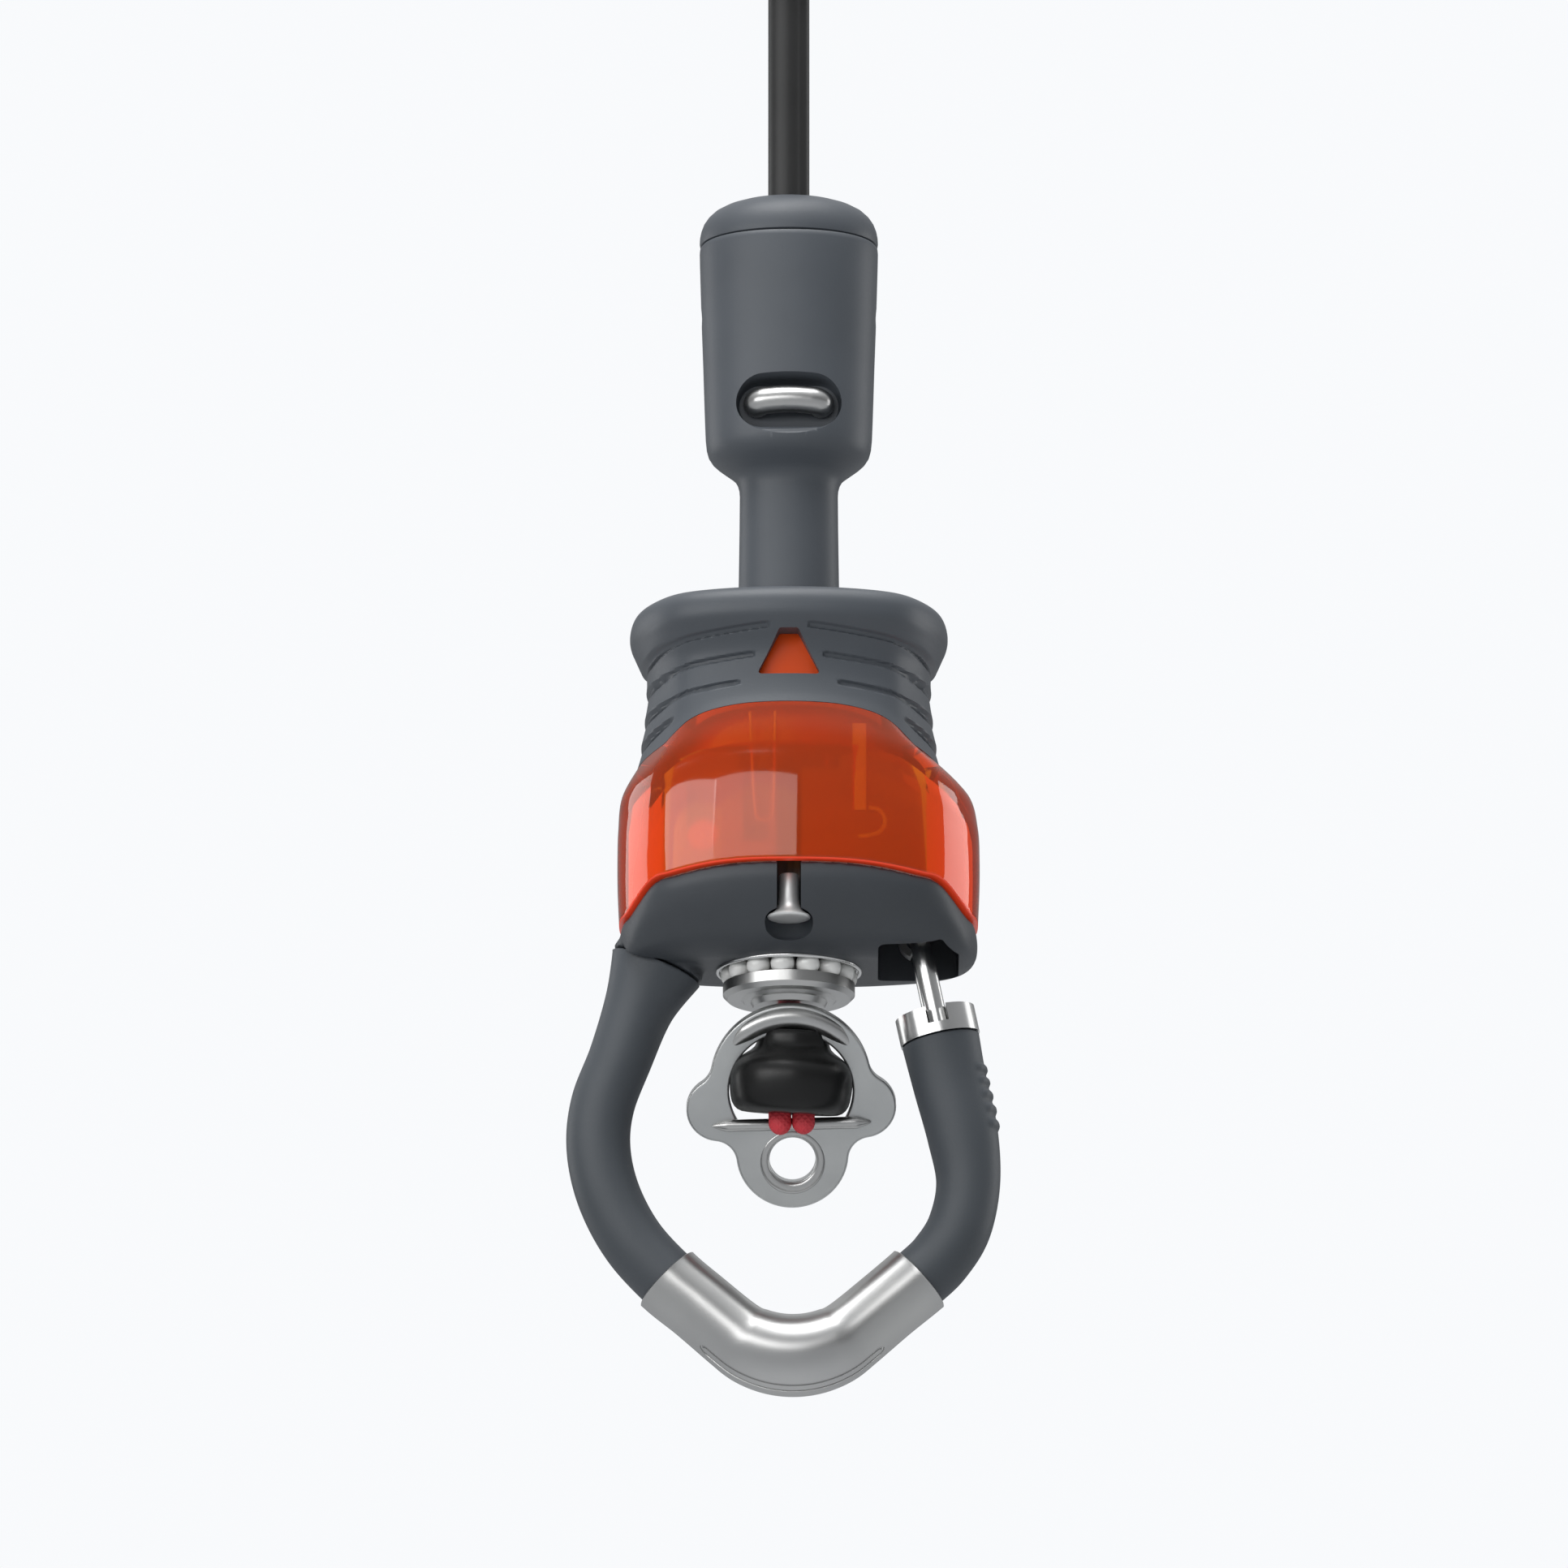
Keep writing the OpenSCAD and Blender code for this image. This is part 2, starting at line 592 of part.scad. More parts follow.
// The block: belly below the casing's edge, ledge, and tower inside the casing
inset = casing_wall + body_gap;
stud_y = casing_hd - stud_in;
belly = [[0, 0.86, block_flat_hd, 5, 0], [0.07, 0.94, block_flat_hd + 3.8, 5, 0],
         [0.22, 0.985, block_flat_hd + 7.7, 6, 0.05], [0.5, 1, casing_hd - 3, 12, 0.5],
         [0.8, 1, casing_hd - 0.6, 24, 1], [1, 1, casing_hd, 24, 1]];
function rim(pts) = [for (p = pts) [p.x, p.y, low_edge(p) - body_gap]];
block_rim = rim(plan(casing_left, casing_right, casing_hd));
module block_shape() {
    rows = [for (b = belly)
            let (pts = plan(casing_left * b[1], casing_right * b[1], b[2], b[3], b[4]))
            [for (i = [0:plan_n - 1]) [pts[i].x, pts[i].y, block_rim[i].z * b[0]]]];
    ledge = plan(casing_left - inset, casing_right - inset, casing_hd - inset);
    skin(concat(rows, [
        [for (i = [0:plan_n - 1]) [ledge[i].x, ledge[i].y, block_rim[i].z]],
        level(ledge, tower_taper_z),
        level(plan(waist_hw - inset - 1, waist_hw - inset - 1, waist_hd - inset - 0.6), tower_top)]));
}

// Stub of the block that the loop's left arm butts against
stub_len = 10;
module stub() {
    start = [-butt_x, butt_z] - (body_gap / 2) * butt_dir;
    end = start - stub_len * butt_dir;
    pts = [[end.x, end.y, butt_hw - 5.4, butt_hd], [start.x, start.y, butt_hw, butt_hd]];
    skin(arm_rings(pts, 0, 1, 1));
}

// Room under the seam for the arm's flared top
module butt_room() {
    start = [-butt_x, butt_z] - (body_gap / 2) * butt_dir;
    end = start + 14 * butt_dir;
    pts = [[start.x, start.y, butt_hw + body_gap, butt_hd + body_gap],
           [end.x, end.y, butt_hw + body_gap, butt_hd + body_gap]];
    skin(arm_rings(pts, 0, 1, 1));
}

pocket_front = 16.5;
pocket_back = 8;
pocket_left = 17.5;
pocket_right = 33.4;
pocket_top = 13;
catch_gap = 0.6;
bend_room = 2.6;
slot_half = catch_w / 2 + body_gap;
module lower_block() {
    color(slate) on_plane()
    difference() {
        union() {
            difference() {
                block_shape();
                butt_room();
            }
            stub();
        }
        // seat of the bearing ring, room for nut and washer, and the passages on the axis
        translate([0, 0, -1]) cylinder(r = race_r + seat_gap, h = race_h + 1);
        cylinder(r = nut_r + 0.8, h = race_h + washer_t + nut_h + 1);
        cylinder(r = passage_r, h = tower_top + 1);
        translate([0, 0, spine_base - seat_gap]) cylinder(r = spine_r + seat_gap, h = tower_top);
        neck_pin_holes();
        // gate pocket, and the slot for catch and wedge above it
        translate([0, 0, -1]) linear_extrude(pocket_top + 1)
        polygon([[pocket_left, -pocket_front], [pocket_right - 3.4, -pocket_front + 1.5],
                 [pocket_right, -pocket_front + 7.5], [pocket_right, pocket_back], [pocket_left, pocket_back]]);
        translate([bight.x - hook_out - bend_room, -slot_half, 4]) cube([40, 2 * slot_half, tower_top]);
        translate([foot_x - body_gap, -slot_half, catch_top - catch_t - seat_gap])
        cube([20, 2 * slot_half, tower_top]);
        // keyhole slot with the stud's recess
        translate([-stud_r - 0.2, -casing_hd - 1, stud_z])
        cube([2 * stud_r + 0.4, casing_hd + 1 - stud_y, tower_top]);
        translate([0, -stud_y, -1]) cylinder(r = stud_foot_r + 0.4, h = stud_z + 5);
        translate([0, -stud_y, 0]) cylinder(r = stud_r + seat_gap, h = stud_z + stud_len);
        catch_screw_hole();
        // windows of the tower that show through the casing
        for (x = [-20, -9])
            translate([x, -casing_hd, low_mid + 4]) cube([5, 12, tower_top]);
    }
}

module guide_stud() {
    color(steel) on_plane() translate([0, -stud_y, stud_z])
    rotate_extrude()
    polygon(concat([[0, 0]],
        [for (i = [0:6]) let (t = i / 6) [mix(stud_foot_r, stud_r, ease(t)), 0.5 + 3.2 * t]],
        [[stud_r, stud_len - 0.6], [stud_r - 0.6, stud_len], [0, stud_len]]));
}

// J-shaped catch: hook under the bail's bend, shank, and a foot held by a screw
hook_in = bail_r + catch_gap;
hook_out = hook_in + catch_t;
foot_len = 9;
foot_x = bight.x - hook_out - foot_len + catch_t;
module catch_spring() {
    color(steel) on_plane()
    difference() {
        translate([0, catch_w / 2, 0]) rotate([90, 0, 0])
        linear_extrude(catch_w)
        union() {
            translate(bight)
            difference() {
                circle(hook_out);
                circle(hook_in);
                translate([-hook_out - 1, 0]) square([2 * hook_out + 2, hook_out + 1]);
                rotate(-25) translate([0, -hook_out - 1]) square([hook_out + 1, 2 * hook_out + 2]);
            }
            translate([bight.x - hook_out, bight.y - 0.01]) square([catch_t, catch_top - bight.y]);
            translate([foot_x, catch_top - catch_t]) square([foot_len, catch_t]);
        }
        catch_screw_hole();
    }
}

screw_x = foot_x + 2.6;
screw_r = 0.9;
screw_len = 8;
module catch_screw_hole() {
    translate([screw_x, 0, catch_top - screw_len]) cylinder(r = screw_r + seat_gap, h = screw_len + 1);
}
module catch_screw() {
    color(steel) on_plane() translate([screw_x, 0, catch_top + seat_gap])
    difference() {
        union() {
            cylinder(r = 1.5, h = 1.3);
            translate([0, 0, -screw_len + 2 * seat_gap]) cylinder(r = screw_r, h = screw_len);
        }
        translate([0, 0, 0.6]) cylinder(r = 0.7, h = 1, $fn = 6);
    }
}

module outer_race() {
    lip = 0.8;
    color(steel) on_plane()
    difference() {
        cylinder(r = race_r, h = race_h - seat_gap);
        translate([0, 0, -1]) cylinder(r = spindle_r + running_gap, h = race_h + 2);
        translate([0, 0, -1]) cylinder(r = race_r - lip, h = 1.5);
        translate([0, 0, -ball_drop])
        rotate_extrude() translate([ball_ring_r, 0]) circle(ball_r + running_gap);
    }
}

module thrust_washer() {
    color(steel) on_plane() translate([0, 0, race_h])
    difference() {
        cylinder(r = nut_r, h = washer_t);
        translate([0, 0, -1]) cylinder(r = spindle_r + running_gap, h = washer_t + 2);
    }
}

module bearing_balls() {
    color("#e3e3e0") on_plane()
    for (i = [0:ball_count - 1])
        rotate(360 * (i + 0.25) / ball_count) translate([ball_ring_r, 0, -ball_drop]) sphere(r = ball_r);
}

spindle_top = race_h + washer_t + nut_h;
disc_low = -disc_top - disc_t;
boss_t = 1.6;
module swivel_disc() {
    color(steel) on_plane()
    difference() {
        rotate_extrude()
        polygon([[passage_r, spindle_top], [spindle_r, spindle_top], [spindle_r, -disc_top + 0.6],
                 [ball_ring_r - 2.6, -disc_top], [disc_r, -disc_top], [disc_r, disc_low + 0.9],
                 [disc_r - 0.9, disc_low], [9.4, disc_low], [8.8, disc_low - 0.5], [7.6, disc_low - 0.5],
                 [7, disc_low - boss_t], [passage_r, disc_low - boss_t]]);
        translate([0, 0, -ball_drop])
        rotate_extrude() translate([ball_ring_r, 0]) circle(ball_r + running_gap);
    }
}

module swivel_nut() {
    color(steel) on_plane() translate([0, 0, race_h + washer_t + running_gap])
    difference() {
        cylinder(r = nut_r, h = nut_h);
        translate([0, 0, -1]) cylinder(r = spindle_r + seat_gap, h = nut_h + 2);
        for (a = [0:60:300]) rotate(a) translate([nut_r, 0, -1]) cylinder(r = 1.1, h = nut_h + 2);
    }
}

// Grip: a shell with arched lower edge, waist, rounded flange and a round passage for the neck
function grip_row(hw, hd, t) = [for (p = plan(hw, hw, hd)) 
    [p.x, p.y, mix(seam_edge(p * casing_hd / hd) + 2 * seat_gap, waist_top, t)]];
function flange_row(k, z) = level(plan(mix(waist_hw, flange_hw, k), mix(waist_hw, flange_hw, k),
                                       mix(waist_hd, flange_hd, k)), z);
edge_hw = waist_hw + 2.2;
edge_hd = casing_hd - edge_in;
module grip() {
    neck_ring = oval(neck_w / 2 + neck_hole, neck_d / 2 + neck_hole);
    lift = grip_top - waist_top;
    room_r = spring_r + wire_r + 0.3 + body_gap;
    color(slate) on_plane()
    difference() {
        skin([grip_row(edge_hw, edge_hd, 0),
              grip_row(waist_hw + 0.6, waist_hd + 0.4, 0.4),
              grip_row(waist_hw, waist_hd, 0.7),
              grip_row(waist_hw, waist_hd, 1),
              flange_row(0.4, waist_top + 0.3 * lift),
              flange_row(0.9, waist_top + 0.52 * lift),
              flange_row(1, waist_top + 0.7 * lift),
              flange_row(0.75, waist_top + 0.88 * lift),
              flange_row(0.1, grip_top),
              level(neck_ring, grip_top),
              level(neck_ring, spring_top + spring_collar_t + 0.6),
              level(oval(room_r, room_r), spring_top + spring_collar_t + 0.5),
              level(oval(room_r, room_r), skirt_top + seat_gap),
              level(plan(waist_hw - grip_wall, waist_hw - grip_wall, waist_hd - grip_wall), skirt_top + seat_gap),
              [for (p = plan(edge_hw - grip_wall, edge_hw - grip_wall, edge_hd - grip_wall))
               [p.x, p.y, seam_edge(p * casing_hd / (edge_hd - grip_wall)) + 2 * seat_gap]]], true);
        translate([0, -waist_hd + grip_wall + 1.2, window_z])
        rotate([90, 0, 0]) linear_extrude(10)
        polygon([[-window_w / 2, 0], [window_w / 2, 0], [window_top_w / 2, window_h], [-window_top_w / 2, window_h]]);
    }
}

// Casing: outer shell below the seam, skirt inside the grip, and the web under the spring
function shell_row(hl, hr, hd, t) = [for (p = plan(hl, hr, hd))
    let (q = p * casing_hd / hd) [p.x, p.y, mix(low_edge(q), seam_edge(q), t)]];
module casing() {
    w = casing_wall;
    neck_ring = oval(neck_w / 2 + neck_hole, neck_d / 2 + neck_hole);
    skirt_hw = edge_hw - grip_wall - seat_gap;
    skirt_hd = edge_hd - grip_wall - seat_gap;
    top_hw = waist_hw - grip_wall - seat_gap;
    top_hd = waist_hd - grip_wall - seat_gap;
    full_l = casing_left;
    full_r = casing_right;
    color(orange, 0.75) on_plane()
    skin([shell_row(full_l, full_r, casing_hd, 0),
          shell_row(full_l, full_r, casing_hd, 0.62),
          shell_row(full_l - 0.7, full_r - 1.9, casing_hd - 0.3, 0.82),
          shell_row(edge_hw, edge_hw, edge_hd, 1),
          shell_row(skirt_hw, skirt_hw, skirt_hd, 1),
          level(plan(top_hw, top_hw, top_hd), skirt_top),
          level(plan(top_hw - w, top_hw - w, top_hd - w), skirt_top),
          level(plan(top_hw - w, top_hw - w, top_hd - w), web_z + web_t),
          level(neck_ring, web_z + web_t),
          level(neck_ring, web_z),
          level(plan(top_hw - w, top_hw - w, top_hd - w), web_z),
          shell_row(full_l - 0.7 - w, full_r - 1.9 - w, casing_hd - 0.3 - w, 0.76),
          shell_row(full_l - w, full_r - w, casing_hd - w, 0.6),
          shell_row(full_l - w, full_r - w, casing_hd - w, 0)], true);
}

// Wedge on the casing's gate wall that bends the catch as the grip goes up
wedge_low = 14;
wedge_h = 10;
module release_wedge() {
    tip = bight.x - hook_out + catch_t + body_gap;
    wall = plan_r(0, casing_right - casing_wall, casing_hd - casing_wall, 24) - 5 * seat_gap;
    color(orange) on_plane() translate([0, catch_w / 2, wedge_low]) rotate([90, 0, 0])
    linear_extrude(catch_w)
    polygon([[tip + 5, 0], [wall, 0], [wall, wedge_h], [tip, wedge_h], [tip, wedge_h - 3]]);
}

// Leash unit: drawn upright with its top at the origin, then leaned, rolled and hung
plate_top = disc_low - boss_t - body_gap - plate_t / 2 * sin(plate_lean);
module hang() {
    on_plane() translate([0, -plate_y, plate_top])
    rotate([plate_lean, -plate_roll, 0]) children();
}
hole_drop = plate_h - tip_r;
window_mid = arch_r + window_low;
module plate_outline() {
    offset(r = -plate_fillet) offset(r = plate_fillet)
    union() {
        translate([0, -arch_r]) circle(arch_r);
        for (side = [-1, 1]) translate([side * (plate_hw - lobe_r), -lobe_drop]) circle(lobe_r);
        translate([-plate_hw + lobe_r, -lobe_drop - 4]) square([2 * (plate_hw - lobe_r), 8]);
        translate([0, -hole_drop]) circle(tip_r);
    }
}
pin_drop = window_mid + window_sill;
module leash_plate() {
    bead_sweep = 120;
    color(steel) hang()
    union() {
        difference() {
            rotate([90, 0, 0]) linear_extrude(plate_t, center = true) plate_outline();
            translate([0, 0, -window_mid]) rotate([90, 0, 0])
            linear_extrude(plate_t + 8, center = true)
            intersection() {
                circle(plate_window_r);
                translate([-2 * plate_window_r, -window_sill]) square(4 * plate_window_r);
            }
            translate([0, 0, -hole_drop - hole_low]) rotate([90, 0, 0])
            cylinder(r = leash_hole_r, h = plate_t + 10, center = true);
            translate([0, -plate_t / 2 - cross_pin_r * 0.3, -pin_drop]) rotate([0, 90, 0])
            cylinder(r = cross_pin_r + seat_gap, h = cross_pin_len + 0.2, center = true);
        }
        translate([0, 0, -arch_r]) rotate([90, 0, 0]) rotate(90 - bead_sweep / 2)
        rotate_extrude(angle = bead_sweep) translate([arch_r - bead_r, 0]) circle(bead_r);
    }
}

module cross_pin() {
    color(steel) hang() translate([0, -plate_t / 2 - cross_pin_r * 0.3, -pin_drop])
    rotate([0, 90, 0]) cylinder(r = cross_pin_r, h = cross_pin_len, center = true);
}

module at_stopper() {
    on_plane() translate([stopper_x, 0, disc_low - boss_t - stopper_drop])
    rotate([stopper_lean, stopper_roll, 0]) children();
}
// Half section of the stopper: flat top, sloping shoulder, full waist and a wide flat foot
stopper_rows = [[0.5, 0], [0.58, 0.02], [0.65, 0.085], [0.85, 0.27], [0.955, 0.4], [1, 0.54], [1, 0.65],
                [0.975, 0.8], [0.92, 0.92], [0.84, 0.985], [0.77, 1]];
module stopper_shape(grow = 0) {
    rotate_extrude()
    polygon(concat([[0, grow]],
        [for (r = stopper_rows) [stopper_r * r[0] + grow, -stopper_h * r[1] + (r[1] < 0.6 ? grow : -grow)]],
        [[0, -stopper_h - grow]]));
}
strand_low = disc_low - boss_t - stopper_drop - line_grip;
module stopper_ball() {
    color(black)
    difference() {
        at_stopper() stopper_shape();
        on_plane() translate([0, 0, strand_low - seat_gap]) cylinder(r = safety_r + seat_gap, h = 20);
    }
}

safety_top = spine_top - 4;
wrap_r = cross_pin_r + safety_r + 0.1;
wrap_x = safety_r + 0.15;
wrap_angle = 100;
module safety_line() {
    color("#c8323c")
    union() {
        on_plane() translate([0, 0, strand_low]) cylinder(r = safety_r, h = safety_top - strand_low);
        for (side = [-1, 1])
            difference() {
                hang() translate([side * wrap_x, -plate_t / 2 - cross_pin_r * 0.3, -pin_drop])
                rotate([0, 90, 0]) rotate([0, 0, 180])
                rotate_extrude(angle = wrap_angle) translate([wrap_r, 0]) circle(safety_r);
                at_stopper() stopper_shape(seat_gap);
            }
    }
}

module arm_flex_neck() {
    color(slate) on_plane() hollow_arm(left_pts, 0.02, flex_t, 8);
}
module left_arm() {
    color(slate) on_plane() hollow_arm(left_pts, flex_t, 7 - arm_end, 18);
}
module saddle() {
    color(steel) on_plane() hollow_arm(saddle_pts, 1, saddle_t, 24);
}
module right_arm() {
    color(slate) on_plane() hollow_arm(right_pts, 0, 6 - arm_end, 18);
}

module loop_core() {
    left = [for (i = [0:16]) arm_ring(left_pts, mix(flex_t + 0.1, 6.9, i / 16), core_r, core_r)];
    mid = [for (i = [0:22]) arm_ring(saddle_pts, mix(1.1, saddle_t - 0.1, i / 22), core_r, core_r)];
    right = [for (i = [0:16]) arm_ring(right_pts, mix(5.9, 0.1, i / 16), core_r, core_r)];
    flip = [for (r = right) [for (k = [0:arm_n - 1]) r[(arm_n / 2 - k + arm_n) % arm_n]]];
    color(steel) on_plane() skin(concat(left, mid, flip));
}

// Collar and bail share a frame: origin at the collar's lower face, +Z along the arm, upwards
module at_collar() {
    on_plane() translate([collar_x, 0, -collar_drop]) rotate([0, -collar_lean, 0]) children();
}
module fork_collar() {
    color(steel) at_collar()
    difference() {
        cylinder(r = collar_r, h = collar_h);
        translate([-bail_r - seat_gap, -collar_r - 1, 2]) cube([2 * bail_r + 2 * seat_gap, 2 * collar_r + 2, collar_h]);
    }
}
module bail() {
    color(steel) at_collar()
    union() {
        for (side = [-1, 1])
            translate([0, side * bail_half, 2 + seat_gap]) cylinder(r = bail_r, h = bail_len - bail_half - 2 - seat_gap);
        translate([0, 0, bail_len - bail_half]) rotate([90, 0, 90])
        rotate_extrude(angle = 180) translate([bail_half, 0]) circle(bail_r);
    }
}

depower_tube();
end_fitting();
top_cap();
head_housing();
line_bar();
anchor_pin();
spine_tube();
neck_pins();
spring_collar();
handle_spring();
lower_block();
guide_stud();
catch_spring();
catch_screw();
outer_race();
thrust_washer();
grip();
casing();
release_wedge();
bearing_balls();
swivel_disc();
swivel_nut();
leash_plate();
cross_pin();
stopper_ball();
safety_line();
arm_flex_neck();
left_arm();
saddle();
right_arm();
loop_core();
fork_collar();
bail();
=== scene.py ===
import math

import bpy
import numpy as np
from mathutils import Matrix, Vector

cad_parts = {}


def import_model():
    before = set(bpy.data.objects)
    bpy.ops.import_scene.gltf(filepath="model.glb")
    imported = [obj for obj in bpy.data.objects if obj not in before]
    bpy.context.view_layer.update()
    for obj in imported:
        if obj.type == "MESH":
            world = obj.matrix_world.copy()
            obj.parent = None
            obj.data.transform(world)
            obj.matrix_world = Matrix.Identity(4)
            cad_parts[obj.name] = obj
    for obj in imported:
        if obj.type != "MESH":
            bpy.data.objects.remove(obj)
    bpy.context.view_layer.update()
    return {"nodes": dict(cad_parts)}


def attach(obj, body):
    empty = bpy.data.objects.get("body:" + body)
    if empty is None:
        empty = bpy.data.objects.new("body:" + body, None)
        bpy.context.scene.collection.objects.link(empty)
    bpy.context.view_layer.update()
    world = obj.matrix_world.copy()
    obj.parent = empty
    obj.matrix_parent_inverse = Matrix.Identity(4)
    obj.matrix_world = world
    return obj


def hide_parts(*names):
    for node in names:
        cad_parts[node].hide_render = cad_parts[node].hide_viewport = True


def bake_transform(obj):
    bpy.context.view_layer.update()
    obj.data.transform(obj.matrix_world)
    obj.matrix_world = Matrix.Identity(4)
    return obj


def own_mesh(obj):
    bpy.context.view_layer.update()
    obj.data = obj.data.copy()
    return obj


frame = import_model()
scene = bpy.context.scene

# Sizes are in millimetres, and heights count from the swivel plane, which is at z = PLANE in the frame
MM = 0.001
PLANE = -218.2
RAD = math.pi / 180


def world(points):
    """Millimetres from the swivel plane to metres in the frame."""
    v = np.asarray(points, dtype=float).reshape(-1, 3) * MM
    v[:, 2] += PLANE * MM
    return v


def turns(n):
    """n angles, evenly round a circle."""
    return np.arange(n) * 2 * math.pi / n


# Camera: the photo's square frame, seen from a little below the part
PHOTO = 1932
PLANE_ROW = 1196
MM_PER_PIXEL = 0.16
AIM_X = -0.96
TILT = 14.5 * RAD
LENS = 600.0
SENSOR = 36.0
distance = PHOTO * MM_PER_PIXEL * LENS / SENSOR
aim = np.array([AIM_X, 0.0, (PLANE_ROW - PHOTO / 2) * MM_PER_PIXEL / math.cos(TILT)])
look = np.array([0.0, math.cos(TILT), math.sin(TILT)])
optics = bpy.data.cameras.new("camera")
optics.lens = LENS
optics.sensor_width = SENSOR
optics.clip_start = 0.1
optics.clip_end = 40
camera = bpy.data.objects.new("camera", optics)
scene.collection.objects.link(camera)
camera.location = world(aim - look * distance)[0]
camera.rotation_euler = (math.pi / 2 + TILT, 0, 0)
scene.camera = camera
scene.view_settings.view_transform = "Standard"


# Studio: the camera sees a plain near-white, and everything else sees soft bands of grey
SKY = (0.945, 0.957, 0.975, 1)
COOL = (0.985, 1.0, 1.02)
# height from the bottom of the room to its top, and grey there
BANDS = [(0.0, 0.75), (0.32, 0.62), (0.45, 0.2), (0.56, 0.17), (0.7, 0.34), (0.86, 0.8), (1.0, 0.7)]


def link(nt, source, output, target, inlet):
    nt.links.new(source.outputs[output], target.inputs[inlet])


def mixed(nt, first, second, share=None):
    """Mix of two shader nodes; share is the second one's part, left open where a node drives it."""
    node = nt.nodes.new("ShaderNodeMixShader")
    if share is not None:
        node.inputs["Fac"].default_value = share
    nt.links.new(first.outputs[0], node.inputs[1])
    nt.links.new(second.outputs[0], node.inputs[2])
    return node


def studio():
    backdrop = bpy.data.worlds.new("studio")
    backdrop.use_nodes = True
    nt = backdrop.node_tree
    sky = nt.nodes["Background"]
    sky.inputs["Color"].default_value = SKY
    sky.inputs["Strength"].default_value = 1.0
    coord = nt.nodes.new("ShaderNodeTexCoord")
    split = nt.nodes.new("ShaderNodeSeparateXYZ")
    link(nt, coord, "Generated", split, "Vector")
    height = nt.nodes.new("ShaderNodeMapRange")
    height.inputs["From Min"].default_value = -1
    link(nt, split, "Z", height, "Value")
    tent = nt.nodes.new("ShaderNodeValToRGB")
    stops = tent.color_ramp.elements
    while len(stops) < len(BANDS):
        stops.new(0.5)
    for stop, (place, grey) in zip(stops, BANDS):
        stop.position = place
        stop.color = (*(grey * c for c in COOL), 1)
    link(nt, height, "Result", tent, "Fac")
    room = nt.nodes.new("ShaderNodeBackground")
    room.inputs["Strength"].default_value = 1.0
    link(nt, tent, "Color", room, "Color")
    rays = nt.nodes.new("ShaderNodeLightPath")
    seen = mixed(nt, room, sky)
    link(nt, rays, "Is Camera Ray", seen, "Fac")
    link(nt, seen, "Shader", nt.nodes["World Output"], "Surface")
    return backdrop


scene.world = studio()


def area(name, place, target, width, power, height=None):
    """Soft box in metres and watts; square where no height is given."""
    data = bpy.data.lights.new(name, "AREA")
    data.energy = power
    data.size = width
    if height:
        data.shape = "RECTANGLE"
        data.size_y = height
    ob = bpy.data.objects.new(name, data)
    scene.collection.objects.link(ob)
    ob.location = place
    ob.rotation_euler = (Vector(target) - Vector(place)).to_track_quat("-Z", "Y").to_euler()


CASING_MID = (0, 0, -0.19)
area("key", (-0.756, -0.7375, -0.04), CASING_MID, 0.70, 3.3, 0.34)
area("key_inner", (-0.232, -1.039, -0.04), CASING_MID, 0.563, 1.75, 0.34)
area("high", (-0.3, -0.5, 1.0), (0, 0, -0.16), 0.9, 9.0, 0.6)
area("side", (0.93, 0.36, -0.06), CASING_MID, 0.42, 2.0, 0.55)
area("left", (-0.88, 0.5, -0.06), CASING_MID, 0.42, 1.6, 0.55)
area("top", (0.1, -0.2, 0.9), (0, 0, -0.15), 0.8, 6)


# Materials
def principled(mat):
    return mat.node_tree.nodes["Principled BSDF"]


def material(name, low, high, rough, metal=0.0, grain=900, bump=0.1, depth=0.00004, patch=60, spread=0.06):
    """Colour in soft patches from low to high, with a fine grain in its roughness and its relief."""
    mat = bpy.data.materials.new(name)
    mat.use_nodes = True
    nt = mat.node_tree
    bsdf = principled(mat)
    bsdf.inputs["Metallic"].default_value = metal
    coord = nt.nodes.new("ShaderNodeTexCoord")
    cloud = nt.nodes.new("ShaderNodeTexNoise")
    cloud.inputs["Scale"].default_value = patch
    cloud.inputs["Detail"].default_value = 4
    link(nt, coord, "Object", cloud, "Vector")
    ramp = nt.nodes.new("ShaderNodeValToRGB")
    for stop, place, colour in zip(ramp.color_ramp.elements, (0.3, 0.7), (low, high)):
        stop.position = place
        stop.color = (*colour, 1)
    link(nt, cloud, "Fac", ramp, "Fac")
    link(nt, ramp, "Color", bsdf, "Base Color")
    fine = nt.nodes.new("ShaderNodeTexNoise")
    fine.inputs["Scale"].default_value = grain
    fine.inputs["Detail"].default_value = 3
    link(nt, coord, "Object", fine, "Vector")
    span = nt.nodes.new("ShaderNodeMapRange")
    span.inputs["To Min"].default_value = rough - spread
    span.inputs["To Max"].default_value = rough + spread
    link(nt, fine, "Fac", span, "Value")
    link(nt, span, "Result", bsdf, "Roughness")
    lump = nt.nodes.new("ShaderNodeBump")
    lump.inputs["Strength"].default_value = bump
    lump.inputs["Distance"].default_value = depth
    link(nt, fine, "Fac", lump, "Height")
    link(nt, lump, "Normal", bsdf, "Normal")
    return mat


def add_glow(mat, colour, strength):
    """Painted glow: weak emission that stands in for light that the plastic carries to its edges."""
    principled(mat).inputs["Emission Color"].default_value = (*colour, 1)
    principled(mat).inputs["Emission Strength"].default_value = strength


